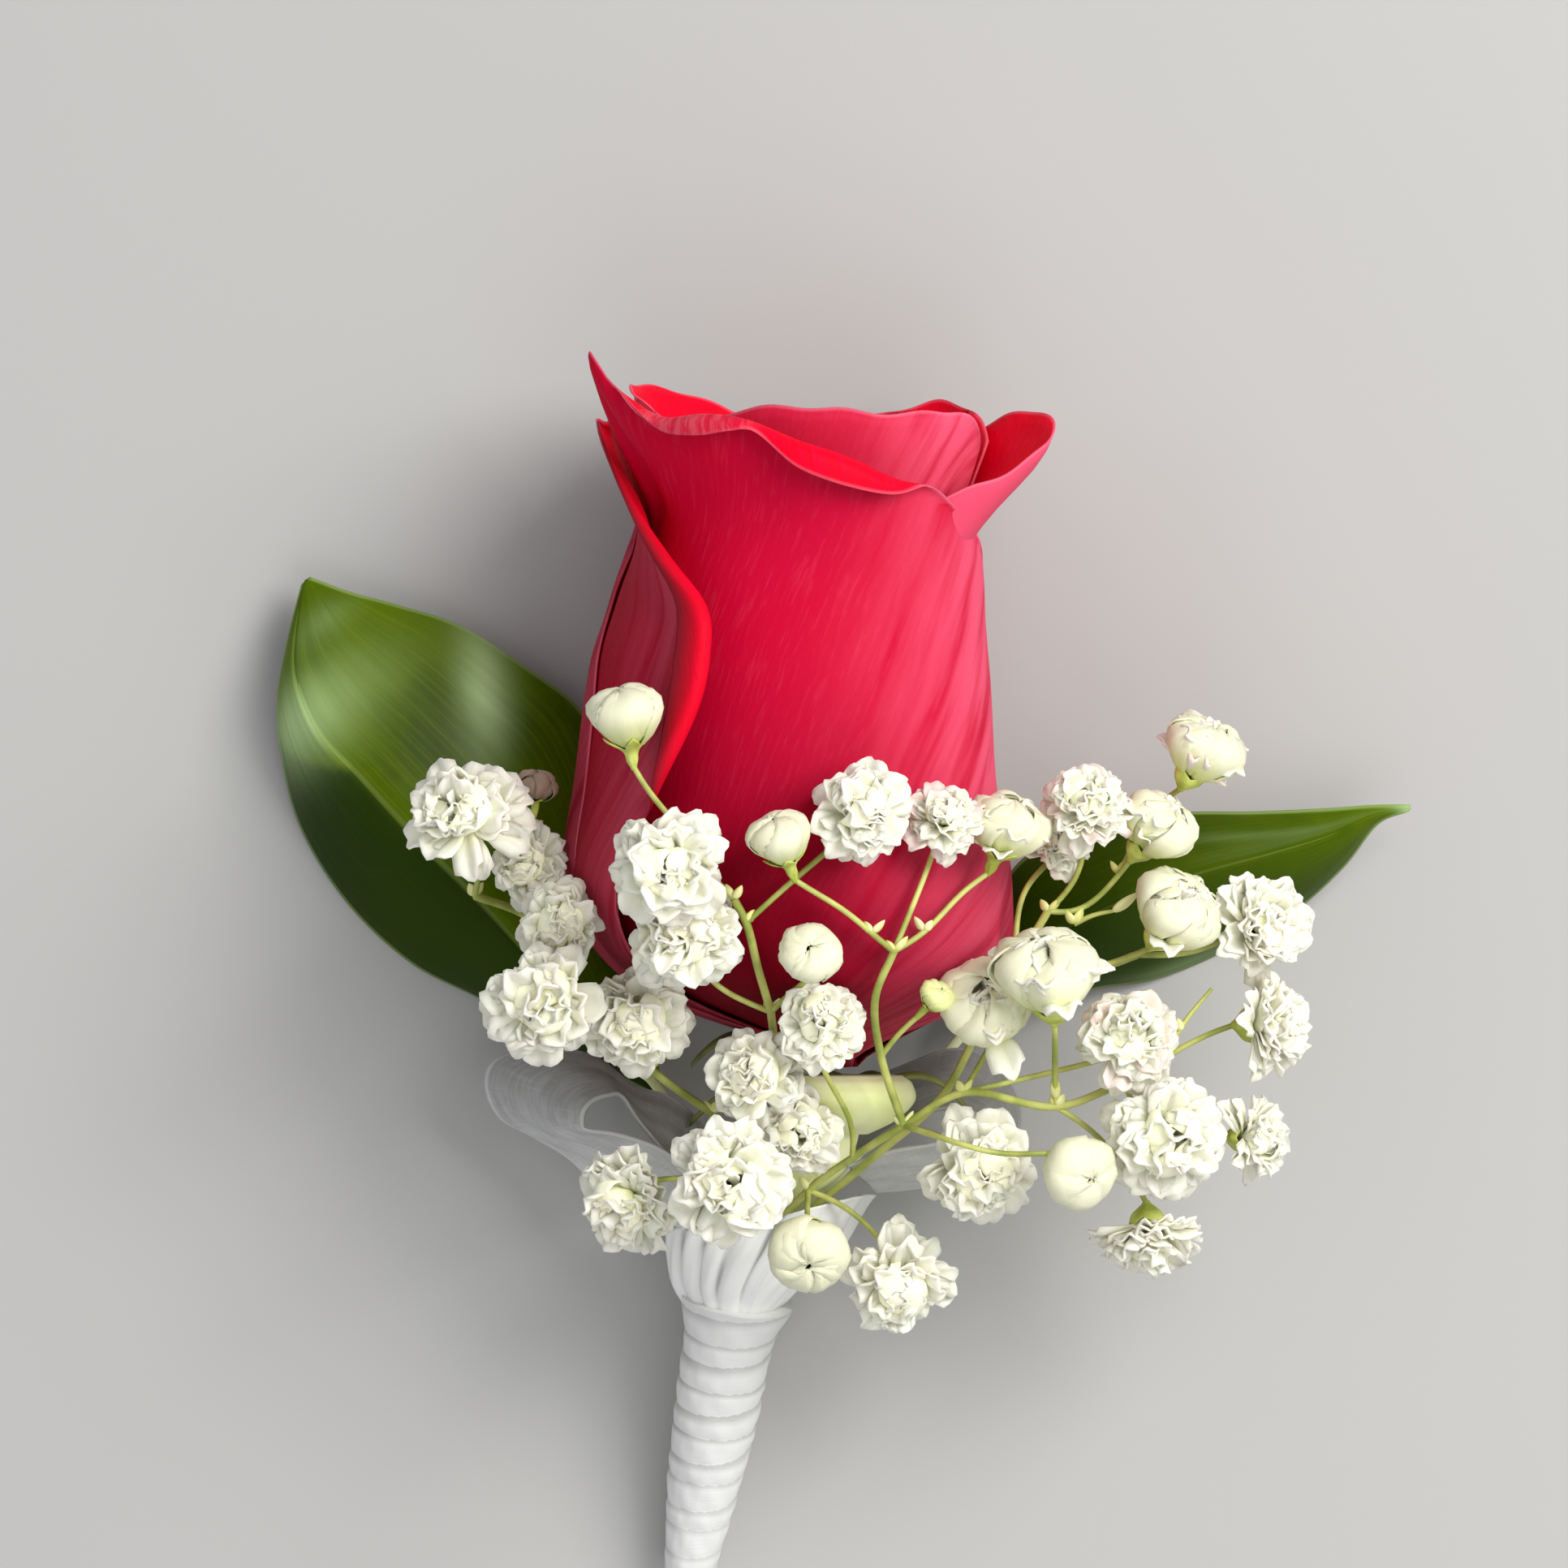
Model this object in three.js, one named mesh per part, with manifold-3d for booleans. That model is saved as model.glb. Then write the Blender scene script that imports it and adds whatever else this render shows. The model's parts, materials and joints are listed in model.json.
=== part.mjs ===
// Boutonniere: a red rose with two glossy leaves and sprays of double baby's breath, bound with silver ribbon.
// It lies on its back: X is to the right, Y runs up the flower, Z points to the viewer, in millimetres.

import * as THREE from "three";
import { mergeVertices } from "three/addons/utils/BufferGeometryUtils.js";
import Module from "manifold-3d";

const wasm = await Module();
wasm.setup();

// Scale and centre of the front view, in which places are read off as picture points
const MM_PER_POINT = 0.063;
const VIEW_CENTRE = { x: 1038.8, y: 1203.05 };

// Rose bloom: radius and centre line against the height above its base
const ROSE_BASE = { x: 1040.4, y: 1314.9 };
const ROSE_RADIUS = [[0, 4.8], [2.5, 8.2], [5, 12], [7.5, 14.8], [10, 16.2], [15, 17.1], [22, 16.1],
  [31, 15.2], [36.5, 14.1], [42.5, 13.1], [46, 13.6], [50, 14.6], [56, 15.5]];
const ROSE_CENTRE_X = [[0, 0], [7, -2.3], [15, -4.2], [31, -4], [36.5, -3.3], [42.5, -2.2], [50, -1.6],
  [56, -1.4]];
const ROSE_AXIS_Z = 16.5;
const ROSE_AXIS_Z_HEIGHT = 15;
const ROSE_PITCH = THREE.MathUtils.degToRad(4);
const PETAL_THICKNESS = 0.8;
const ROSE_CORE_INSET = 2.6;
const ROSE_CORE_SIDES = 14;
const ROSE_CORE_LEVELS = [0, 2.5, 6, 11, 16, 22, 32, 41];
const CORE_BACK_INSET = -0.5;
const CORE_BACK_ANGLES = [26, 62];

// Hip, stem and sepals
const HIP_RADIUS = 5.5;
const HIP_LENGTH = 4.6;
const ROSE_STEM_RADIUS = 1.5;
const SEAT_GAP = 0.3;
const HIP_DROP = PETAL_THICKNESS / 2 + SEAT_GAP;
const HIP_PROFILE = [[0, 4.6], [0.6, HIP_RADIUS - 0.2], [2, HIP_RADIUS], [3.6, 3.9], [HIP_LENGTH, 1.9]];
const SEPAL_WIDTH = 2.2;
const SEPAL_THICKNESS = 0.6;
const SEPAL_START = 3;
const SEPAL_ARCH = 1.4;
const SEPAL_DROOP = 2.6;
const SEPALS = [{ angle: -76, length: 8 }, { angle: -114, length: 8 }, { angle: 92, length: 6.5 },
  { angle: 150, length: 3.5 }, { angle: -165, length: 3.5 }];

// Leaves and their stalks
const LEAF_THICKNESS = 0.7;
const STALK_RADIUS = 0.7;

// Baby's breath
const SPRAY_STEM_RADIUS = 0.36;
const PEDICEL_RADIUS = 0.34;
const CUP_LENGTH = 1.3;
const CUP_FOOT_RADIUS = 0.42;
const CUP_MOUTH_SHARE = 0.3;
const CUP_MOUTH_LEAST = 0.55;
const BRACT_LENGTH = 1.5;
const BRACT_RADIUS = 0.55;

// Ribbon
const RIBBON_THICKNESS = 0.6;
const WRAP_PITCH = 2;
const WRAP_RIDGE = 0.16;
const WRAP_MOUTH_BORE = 2.62;
const WRAP_STEM_BORE = 1.86;
const WRAP_SIDES = 12;
const RINGS_PER_TURN = 3;
const WRAP_RADIUS = [[0, 3.2], [2, 3.25], [3.4, 3.5], [7, 3.45], [12, 3.2], [17, 2.85], [21, 2.6], [24, 2.45]];
const STEM_RING_RADIUS = 2.05;
const STEM_IN_WRAP_RADIUS = 0.34;
const STEM_IN_WRAP_DEPTH = 3.5;
const WRAP_BORE = [[0, WRAP_MOUTH_BORE], [5, WRAP_MOUTH_BORE], [7.5, WRAP_STEM_BORE]];
const PLEATS = 11;
const PLEAT_DEPTH = 0.45;

const { degToRad, lerp, smoothstep } = THREE.MathUtils;
const UP = new THREE.Vector3(0, 0, 1);

// A place in the front view, at the height z above the surface it lies on
function at(x, y, z) {
  return new THREE.Vector3((x - VIEW_CENTRE.x) * MM_PER_POINT, (VIEW_CENTRE.y - y) * MM_PER_POINT, z);
}

// Smooth value through a table of [position, value, ...] rows, by cubic pieces
function along(table, position, column = 1) {
  const last = table.length - 1;
  let i = 0;
  while (i < last - 1 && position > table[i + 1][0]) i += 1;
  const slope = (a, b) => (table[b][column] - table[a][column]) / (table[b][0] - table[a][0]);
  const width = table[i + 1][0] - table[i][0];
  const t = Math.min(1, Math.max(0, (position - table[i][0]) / width));
  const startSlope = i > 0 ? slope(i - 1, i + 1) : slope(0, 1);
  const endSlope = i + 2 <= last ? slope(i, i + 2) : slope(i, i + 1);
  const p0 = table[i][column];
  const p1 = table[i + 1][column];
  const t2 = t * t;
  const t3 = t2 * t;
  return (2 * t3 - 3 * t2 + 1) * p0 + (t3 - 2 * t2 + t) * startSlope * width
    + (3 * t2 - 2 * t3) * p1 + (t3 - t2) * endSlope * width;
}

// Repeatable random numbers from 0 to 1
function randomFrom(seed) {
  let state = seed * 2654435761 % 4294967296;
  return () => {
    state = (state * 1664525 + 1013904223) % 4294967296;
    return state / 4294967296;
  };
}

// Closed solid from vertices and triangles, turned to face outwards
function solidFrom(points, triangles) {
  const geometry = new THREE.BufferGeometry().setFromPoints(points);
  geometry.setIndex(triangles);
  return solidOf(geometry);
}

function solidOf(geometry) {
  geometry.deleteAttribute("normal");
  geometry.deleteAttribute("uv");
  const merged = mergeVertices(geometry, 1e-3);
  const place = merged.attributes.position;
  const corner = [new THREE.Vector3(), new THREE.Vector3(), new THREE.Vector3()];
  const kept = [];
  let volume = 0;
  for (let i = 0; i < merged.index.count; i += 3) {
    const [a, b, c] = [0, 1, 2].map((k) => merged.index.getX(i + k));
    if (a === b || b === c || c === a) continue;
    kept.push([a, b, c]);
    [a, b, c].forEach((index, k) => corner[k].fromBufferAttribute(place, index));
    volume += corner[0].dot(corner[1].clone().cross(corner[2]));
  }
  const facing = volume > 0 ? kept : kept.map(([a, b, c]) => [a, c, b]);
  return new wasm.Manifold(new wasm.Mesh({
    numProp: 3,
    vertProperties: new Float32Array(place.array),
    triVerts: new Uint32Array(facing.flat()),
  }));
}

// Joined solids as one body: loose scraps are dropped and hollows that the joint seals are filled
function fused(solids) {
  const whole = solids.reduce((joined, next) => joined.add(next));
  const bodies = whole.decompose();
  bodies.sort((a, b) => b.volume() - a.volume());
  return bodies[0];
}

// Everything below the surface that the flower lies on is taken off, which leaves a small flat spot
function flattenedBelow(solid) {
  const box = new THREE.BoxGeometry(400, 400, 40).translate(0, 0, -20);
  return solid.subtract(solidOf(box));
}

// Evenly spaced shares from 0 to 1
const evenly = (count) => Array.from({ length: count + 1 }, (_, i) => i / count);

// A grid of points made a closed blade, with half of its thickness on each side
function blade(pointAt, shares, levels, thickness) {
  const columns = shares.length - 1;
  const rows = levels.length - 1;
  const grid = levels.flatMap((level) => shares.map((share) => pointAt(share, level)));
  const index = (i, j) => j * (columns + 1) + i;
  const points = [[], []];
  for (let j = 0; j <= rows; j += 1) {
    for (let i = 0; i <= columns; i += 1) {
      const across = grid[index(Math.min(i + 1, columns), j)].clone().sub(grid[index(Math.max(i - 1, 0), j)]);
      const upward = grid[index(i, Math.min(j + 1, rows))].clone().sub(grid[index(i, Math.max(j - 1, 0))]);
      const normal = across.cross(upward).normalize().multiplyScalar(thickness / 2);
      points[0].push(grid[index(i, j)].clone().add(normal));
      points[1].push(grid[index(i, j)].clone().sub(normal));
    }
  }
  const back = grid.length;
  const triangles = [];
  for (let j = 0; j < rows; j += 1) {
    for (let i = 0; i < columns; i += 1) {
      const [a, b, c, d] = [index(i, j), index(i + 1, j), index(i + 1, j + 1), index(i, j + 1)];
      triangles.push(a, b, c, a, c, d, back + a, back + c, back + b, back + a, back + d, back + c);
    }
  }
  const border = [];
  for (let i = 0; i < columns; i += 1) border.push(index(i, 0));
  for (let j = 0; j < rows; j += 1) border.push(index(columns, j));
  for (let i = columns; i > 0; i -= 1) border.push(index(i, rows));
  for (let j = rows; j > 0; j -= 1) border.push(index(0, j));
  border.forEach((a, k) => {
    const b = border[(k + 1) % border.length];
    triangles.push(a, back + a, b, b, back + a, back + b);
  });
  return solidFrom([...points[0], ...points[1]], triangles);
}

// A stack of closed rings made one solid, with a point at each end
function ringStack(rings, bottom, top) {
  const sides = rings[0].length;
  const points = [bottom, ...rings.flat(), top];
  const corner = (ring, side) => 1 + ring * sides + (side % sides);
  const triangles = [];
  for (let k = 0; k < sides; k += 1) {
    triangles.push(0, corner(0, k + 1), corner(0, k));
    triangles.push(points.length - 1, corner(rings.length - 1, k), corner(rings.length - 1, k + 1));
    for (let j = 0; j + 1 < rings.length; j += 1) {
      const [a, b, c, d] = [corner(j, k), corner(j, k + 1), corner(j + 1, k + 1), corner(j + 1, k)];
      triangles.push(a, b, c, a, c, d);
    }
  }
  return solidFrom(points, triangles);
}

// A tube whose wall lies between an outer and an inner stack of rings
function sleeve(outer, inner) {
  const sides = outer[0].length;
  const points = [...outer.flat(), ...inner.flat()];
  const start = outer.length * sides;
  const triangles = [];
  const wall = (first, rings, turned) => {
    for (let j = 0; j + 1 < rings; j += 1) {
      for (let k = 0; k < sides; k += 1) {
        const next = (k + 1) % sides;
        const [a, b] = [first + j * sides + k, first + j * sides + next];
        const [c, d] = [b + sides, a + sides];
        if (turned) triangles.push(a, c, b, a, d, c);
        else triangles.push(a, b, c, a, c, d);
      }
    }
  };
  wall(0, outer.length, false);
  wall(start, inner.length, true);
  const lids = [[0, start, true], [(outer.length - 1) * sides, start + (inner.length - 1) * sides, false]];
  lids.forEach(([out, into, turned]) => {
    for (let k = 0; k < sides; k += 1) {
      const next = (k + 1) % sides;
      const quad = [out + k, out + next, into + next, into + k];
      const [a, b, c, d] = turned ? [quad[0], quad[3], quad[2], quad[1]] : quad;
      triangles.push(a, b, c, a, c, d);
    }
  });
  return solidFrom(points, triangles);
}

// A round stem along a smooth curve
function stem(points, radius, sides, stride = 3) {
  const section = new THREE.Shape();
  for (let k = 0; k < sides; k += 1) {
    const angle = (k / sides) * 2 * Math.PI;
    const corner = [radius * Math.cos(angle), radius * Math.sin(angle)];
    if (k === 0) section.moveTo(...corner);
    else section.lineTo(...corner);
  }
  section.closePath();
  const path = new THREE.CatmullRomCurve3(points, false, "centripetal");
  const steps = Math.max(2, Math.min(2 * (points.length - 1), Math.ceil(path.getLength() / stride)));
  return solidOf(new THREE.ExtrudeGeometry(section, { extrudePath: path, steps, bevelEnabled: false }));
}

// Turns a point given along +Z to point along a direction, and moves it to a place
function turned(point, direction, place) {
  const turn = new THREE.Quaternion().setFromUnitVectors(UP, direction);
  return point.applyQuaternion(turn).add(place);
}

// Rose

function roseCentre(height) {
  const z = ROSE_AXIS_Z + (height - ROSE_AXIS_Z_HEIGHT) * Math.tan(ROSE_PITCH);
  return at(ROSE_BASE.x, ROSE_BASE.y, z).add(new THREE.Vector3(along(ROSE_CENTRE_X, height), height, 0));
}

// A point of the bloom: angle 0 faces the viewer and 90 degrees is to the right
function rosePoint(angle, height, radius) {
  const place = roseCentre(height);
  place.x += radius * Math.sin(degToRad(angle));
  place.z += radius * Math.cos(degToRad(angle));
  return place;
}

// Each petal: its side edges as [share of height, angle], how far it lies outside the bloom's radius at its
// left and right edge, and its rim from left to right as [share, height, flare, roll]. Roll is the curl of the
// rim in degrees.
const PETALS = [
  {
    name: "front", lift: 0, from: 0, outside: [-0.9, 0],
    left: [[0, -35], [0.25, -62], [0.6, -78], [1, -80]],
    right: [[0, 40], [0.25, 95], [0.6, 112], [1, 112]],
    rim: [[0, 49, 2.4, 0], [0.035, 55, 4.2, 0], [0.08, 51.5, 2.9, 40], [0.15, 49.7, 1.4, 110],
      [0.23, 48.9, 1.1, 120], [0.31, 49, 0.8, 120], [0.39, 46.3, 1, 160], [0.46, 44.8, 1, 170],
      [0.54, 44.2, 0.8, 140], [0.625, 43.6, 0.6, 70], [0.7, 42.4, 0.4, 40], [0.78, 41, 0.2, 20],
      [0.88, 39, 0, 0], [1, 36, -0.3, 0]],
  },
  {
    name: "left", lift: 1.5, from: 0, outside: [-0.9, 0.9],
    left: [[0, -80], [0.3, -125], [0.6, -125], [1, -125]],
    right: [[0, -50], [0.2, -52], [0.42, -33], [0.56, -23], [0.66, -22], [0.72, -27], [0.79, -43], [0.87, -64],
      [1, -88]],
    rim: [[0, 46, 1, 0], [0.3, 47.5, 1.6, 0], [0.6, 49, 2.4, 30], [0.85, 49.8, 3, 30], [1, 50, 3.1, 0]],
  },
  {
    name: "outer_left", lift: 0, from: 0, outside: [0.5, 0.4],
    left: [[0, -260], [0.3, -218], [0.6, -212], [1, -206]],
    right: [[0, -60], [0.3, -70], [0.55, -72], [0.75, -76], [1, -96]],
    rim: [[0, 40, -0.4, 0], [0.25, 45, 0.6, 0], [0.5, 47, 1.6, 40], [0.72, 46, 1.6, 60], [0.88, 43.6, 0.9, 0],
      [1, 40, 0.2, 0]],
  },
  {
    name: "outer_right", lift: 0, from: 0, outside: [-0.9, 0],
    left: [[0, 60], [0.3, 76], [0.6, 80], [1, 84]],
    right: [[0, 160], [0.3, 182], [0.6, 190], [1, 190]],
    rim: [[0, 40, -0.8, 0], [0.25, 44, 0, 0], [0.5, 46.5, 1.6, 40], [0.75, 47.5, 1.8, 50], [1, 44, 0.4, 0]],
  },
  {
    name: "right_flared", lift: 0, from: 0.45, outside: [-1.7, -1.7],
    left: [[0, 30], [1, 34]],
    right: [[0, 120], [1, 128]],
    rim: [[0, 43.4, 1.8, 0], [0.2, 44.8, 3, 0], [0.36, 46.6, 4.4, 0], [0.48, 48.4, 5, 0], [0.58, 50, 4.9, 0],
      [0.68, 51, 3.9, 0], [0.8, 50.8, 2.3, 0], [0.92, 49.6, 1.2, 0], [1, 48, 0.6, 0]],
  },
  {
    name: "back_right", lift: 0, from: 0.45, outside: [-1.8, -1.8],
    left: [[0, 100], [1, 104]],
    right: [[0, 200], [1, 208]],
    rim: [[0, 48.6, 0.8, 0], [0.15, 50.6, 1, 0], [0.35, 51.7, 1.2, 20], [0.55, 51, 1, 0], [0.8, 50.2, 1, 0],
      [1, 48, 0.5, 0]],
  },
  {
    name: "back_left", lift: 0, from: 0.45, outside: [-1.6, -1.6],
    left: [[0, -175], [1, -182]],
    right: [[0, -70], [1, -66]],
    rim: [[0, 49, 0.6, 0], [0.2, 50.4, 0.9, 20], [0.4, 51.8, 1.3, 60], [0.62, 52.2, 1.4, 70],
      [0.85, 51.2, 1.3, 30], [1, 49.6, 0.8, 0]],
  },
  {
    name: "middle", lift: 0, from: 0.5, outside: [-3.6, -3.2],
    left: [[0, -58], [1, -64]],
    right: [[0, 92], [1, 96]],
    rim: [[0, 49.4, 0.6, 0], [0.22, 51, 0.2, 0], [0.42, 50.9, -0.2, 0], [0.58, 50.5, -0.2, 0],
      [0.72, 50.8, 0, 0], [0.86, 50.2, 0.8, 0], [0.95, 48, 1.3, 0], [1, 45.6, 1.3, 0]],
  },
  {
    name: "middle_back", lift: 0, from: 0.6, outside: [-4.2, -4.4],
    left: [[0, 80], [1, 80]],
    right: [[0, 290], [1, 290]],
    rim: [[0, 48.4, 0, 0], [0.3, 50, 0.2, 0], [0.6, 50.4, 0.3, 0], [1, 48.6, 0, 0]],
  },
];

// The heart of the bloom: petals wound one inside the next
const HEART_PETALS = 4;
const HEART_FIRST_ANGLE = -70;
const HEART_START_INSET = -6.2;
const HEART_WIND = -0.8;
const HEART_STEP = -2.1;
const HEART_TURN = 140;
const HEART_SPAN = 210;
const HEART_RIM = 49.9;
for (let k = 0; k < HEART_PETALS; k += 1) {
  const start = HEART_FIRST_ANGLE + k * HEART_TURN;
  const inset = HEART_START_INSET + k * HEART_STEP;
  PETALS.push({
    name: "heart_" + k, lift: 0, from: 0.72, outside: [inset, inset + HEART_WIND],
    left: [[0, start], [1, start]],
    right: [[0, start + HEART_SPAN], [1, start + HEART_SPAN]],
    rim: [[0, HEART_RIM - 1.6 - k * 0.3, 0, 0], [0.5, HEART_RIM - k * 0.4, 0, 0],
      [1, HEART_RIM - 1.4 - k * 0.3, 0, 0]],
  });
}

const ROLL_RADIUS = 0.95;
const ROLL_SHARE = 0.9;
const FLARE_START = 0.8;
const PETAL_ROOT_INSET = 4.5;
const PETAL_ROOT_SHARE = 0.14;
const LIFT_SPAN = [0.8, 1];
const LIFT_CLIMB = [0.25, 0.5];
const LARGE_PETAL = { rows: 6, widest: 0.12 };
const SMALL_PETAL = { rows: 3, widest: 0.16 };

// A point of a petal: s runs from its left edge to its right, v from its foot to its rim
function petalPoint(petal, s, v) {
  const climb = Math.min(v / ROLL_SHARE, 1);
  const share = lerp(petal.from, 1, climb);
  const curl = degToRad(along(petal.rim, s, 3)) * Math.max(0, (v - ROLL_SHARE) / (1 - ROLL_SHARE));
  const angle = lerp(along(petal.left, share), along(petal.right, share), s);
  const rimHeight = along(petal.rim, s);
  const height = share * rimHeight;
  const flare = along(petal.rim, s, 2) * smoothstep(share, FLARE_START, 1);
  const edge = petal.lift * smoothstep(s, ...LIFT_SPAN) * smoothstep(share, ...LIFT_CLIMB);
  const root = petal.from === 0 ? PETAL_ROOT_INSET * (1 - smoothstep(share, 0, PETAL_ROOT_SHARE)) : 0;
  const radius = Math.max(1, along(ROSE_RADIUS, height) + lerp(...petal.outside, s) + flare + edge - root);
  return rosePoint(angle, height + ROLL_RADIUS * Math.sin(curl), radius + ROLL_RADIUS * (1 - Math.cos(curl)));
}

// Shares across a petal at which its rim is shaped, with more between those that stand far apart
function petalShares(petal, widest) {
  const shares = [0];
  for (let k = 1; k < petal.rim.length; k += 1) {
    const from = petal.rim[k - 1][0];
    const gap = petal.rim[k][0] - from;
    const parts = Math.max(1, Math.round(gap / widest));
    for (let i = 1; i <= parts; i += 1) shares.push(from + (gap * i) / parts);
  }
  return shares;
}

function petalSolid(petal) {
  const { rows, widest } = petal.from > 0 ? SMALL_PETAL : LARGE_PETAL;
  const levels = evenly(rows).map((level) => level * ROLL_SHARE);
  if (petal.rim.some((row) => row[3] > 0)) levels.push((1 + ROLL_SHARE) / 2, 1);
  return blade((s, v) => petalPoint(petal, s, v), petalShares(petal, widest), levels, PETAL_THICKNESS);
}

// How far the core stays inside the bloom's radius: at the back it fills the petals that are pressed flat
function coreInset(angle, height) {
  const back = 1 - smoothstep(Math.abs(angle - 180), ...CORE_BACK_ANGLES);
  const filled = back * smoothstep(height, 2, 6) * (1 - smoothstep(height, 22, 32));
  return lerp(ROSE_CORE_INSET * smoothstep(height, 0, 6), CORE_BACK_INSET, filled);
}

function roseCore() {
  const rings = ROSE_CORE_LEVELS.map((height) => Array.from({ length: ROSE_CORE_SIDES }, (_, k) => {
    const angle = (k * 360) / ROSE_CORE_SIDES;
    return rosePoint(angle, height, along(ROSE_RADIUS, height) - coreInset(angle, height));
  }));
  return ringStack(rings, roseCentre(ROSE_CORE_LEVELS[0]), roseCentre(ROSE_CORE_LEVELS.at(-1)));
}

function roseBloom() {
  return flattenedBelow(fused([roseCore(), ...PETALS.map(petalSolid)]));
}

// Binding: the line of the wound sleeve, and the places of the stems inside it

const WRAP_TOP = at(906, 1604, 9.4);
const WRAP_END = at(846, 1955, 2.42);
const WRAP_LENGTH = WRAP_TOP.distanceTo(WRAP_END);
const WRAP_DIRECTION = WRAP_END.clone().sub(WRAP_TOP).normalize();
const WRAP_SIDE = new THREE.Vector3().crossVectors(UP, WRAP_DIRECTION).normalize();
const WRAP_FRONT = new THREE.Vector3().crossVectors(WRAP_DIRECTION, WRAP_SIDE).normalize();

// A point of the sleeve: depth from its top, and an angle that is 0 on the right and 90 degrees at the front
function wrapPoint(depth, angle, radius) {
  return WRAP_TOP.clone()
    .addScaledVector(WRAP_DIRECTION, depth)
    .addScaledVector(WRAP_SIDE, radius * Math.cos(degToRad(angle)))
    .addScaledVector(WRAP_FRONT, radius * Math.sin(degToRad(angle)));
}

const STEM_PLACES = {
  spray_left_stems: 150,
  spray_centre_stems: 110,
  spray_right_stems: 70,
  spray_upper_right_stems: 28,
  leaf_left: 212,
  leaf_right: 328,
};

// The hidden lower end of a thin stem, from inside the sleeve to just above its mouth
function boundEnd(name) {
  const angle = STEM_PLACES[name];
  return [STEM_IN_WRAP_DEPTH, -0.5].map((depth) => wrapPoint(depth, angle, STEM_RING_RADIUS));
}

function ribbonWrap() {
  const sides = WRAP_SIDES;
  const rows = Math.round((WRAP_LENGTH / WRAP_PITCH) * RINGS_PER_TURN);
  const outer = [];
  const inner = [];
  for (let j = 0; j <= rows; j += 1) {
    const depth = (j / rows) * WRAP_LENGTH;
    const ring = [];
    for (let k = 0; k < sides; k += 1) {
      const ridge = WRAP_RIDGE * Math.cos(2 * Math.PI * (depth / WRAP_PITCH - k / sides));
      ring.push(wrapPoint(depth, (k * 360) / sides, along(WRAP_RADIUS, depth) + ridge));
    }
    outer.push(ring);
  }
  [...WRAP_BORE, [WRAP_LENGTH, WRAP_STEM_BORE]].forEach(([depth, radius]) => {
    inner.push(Array.from({ length: sides }, (_, k) => wrapPoint(depth, (k * 360) / sides, radius)));
  });
  return flattenedBelow(sleeve(outer, inner));
}

// Hip, sepals and stem of the rose

function sepal({ angle, length }) {
  const outward = new THREE.Vector3(Math.sin(degToRad(angle)), 0, Math.cos(degToRad(angle)));
  const sideways = new THREE.Vector3(-outward.z, 0, outward.x);
  const foot = roseCentre(0).add(new THREE.Vector3(0, -HIP_DROP - SEPAL_THICKNESS, 0));
  return blade((s, v) => {
    const width = SEPAL_WIDTH * (1 - v * v) + 0.3;
    const rise = SEPAL_ARCH * Math.sin(v * Math.PI * 0.8) - SEPAL_DROOP * v * v;
    return foot.clone()
      .addScaledVector(outward, SEPAL_START + length * v)
      .addScaledVector(sideways, (s - 0.5) * width)
      .add(new THREE.Vector3(0, rise, 0));
  }, evenly(2), evenly(4), SEPAL_THICKNESS);
}

function roseStem() {
  const top = roseCentre(0).y - HIP_DROP;
  const centre = roseCentre(0);
  const sides = 12;
  const rings = HIP_PROFILE.map(([drop, radius]) => Array.from({ length: sides }, (_, k) => {
    const angle = (k / sides) * 2 * Math.PI;
    const [x, z] = [centre.x + radius * Math.sin(angle), centre.z + radius * Math.cos(angle)];
    return new THREE.Vector3(x, top - drop, z);
  }));
  const hip = ringStack(rings, new THREE.Vector3(centre.x, top, centre.z),
    new THREE.Vector3(centre.x, top - HIP_LENGTH - 0.4, centre.z));
  const run = stem([
    new THREE.Vector3(centre.x, top - HIP_LENGTH + 1.5, centre.z),
    new THREE.Vector3(centre.x - 1.2, top - HIP_LENGTH - 2, centre.z - 1),
    wrapPoint(-7, 90, 0.4),
    wrapPoint(0, 90, 0),
    wrapPoint(WRAP_LENGTH * 0.5, 90, 0),
    wrapPoint(WRAP_LENGTH - 0.2, 90, 0),
  ], ROSE_STEM_RADIUS, 10);
  return fused([hip, run, ...SEPALS.map(sepal)]);
}

// Leaves: stations from stalk to tip, each with its lower edge, midrib and upper edge

const LEFT_LEAF = [
  { lower: at(800, 1352, 5.4), midrib: at(806, 1342, 5.6), upper: at(812, 1332, 5.4) },
  { lower: at(700, 1296, 3.6), midrib: at(740, 1286, 6.6), upper: at(790, 1240, 4.2) },
  { lower: at(590, 1236, 1.4), midrib: at(668, 1204, 8), upper: at(752, 1110, 3.2) },
  { lower: at(500, 1190, 0.35), midrib: at(592, 1118, 8.8), upper: at(752, 985, 3) },
  { lower: at(420, 1115, 0.2), midrib: at(512, 1038, 9.2), upper: at(716, 880, 2.8) },
  { lower: at(362, 1022, 0.6), midrib: at(440, 960, 9), upper: at(640, 818, 3.4) },
  { lower: at(338, 930, 2.6), midrib: at(386, 902, 8.2), upper: at(560, 768, 4) },
  { lower: at(334, 860, 4.2), midrib: at(358, 835, 6.8), upper: at(480, 742, 4.4) },
  { lower: at(346, 790, 4.6), midrib: at(358, 775, 5.4), upper: at(425, 727, 4.6) },
  { lower: at(364, 718, 4.2), midrib: at(369, 712, 4.2), upper: at(374, 708, 4.2) },
];
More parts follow.
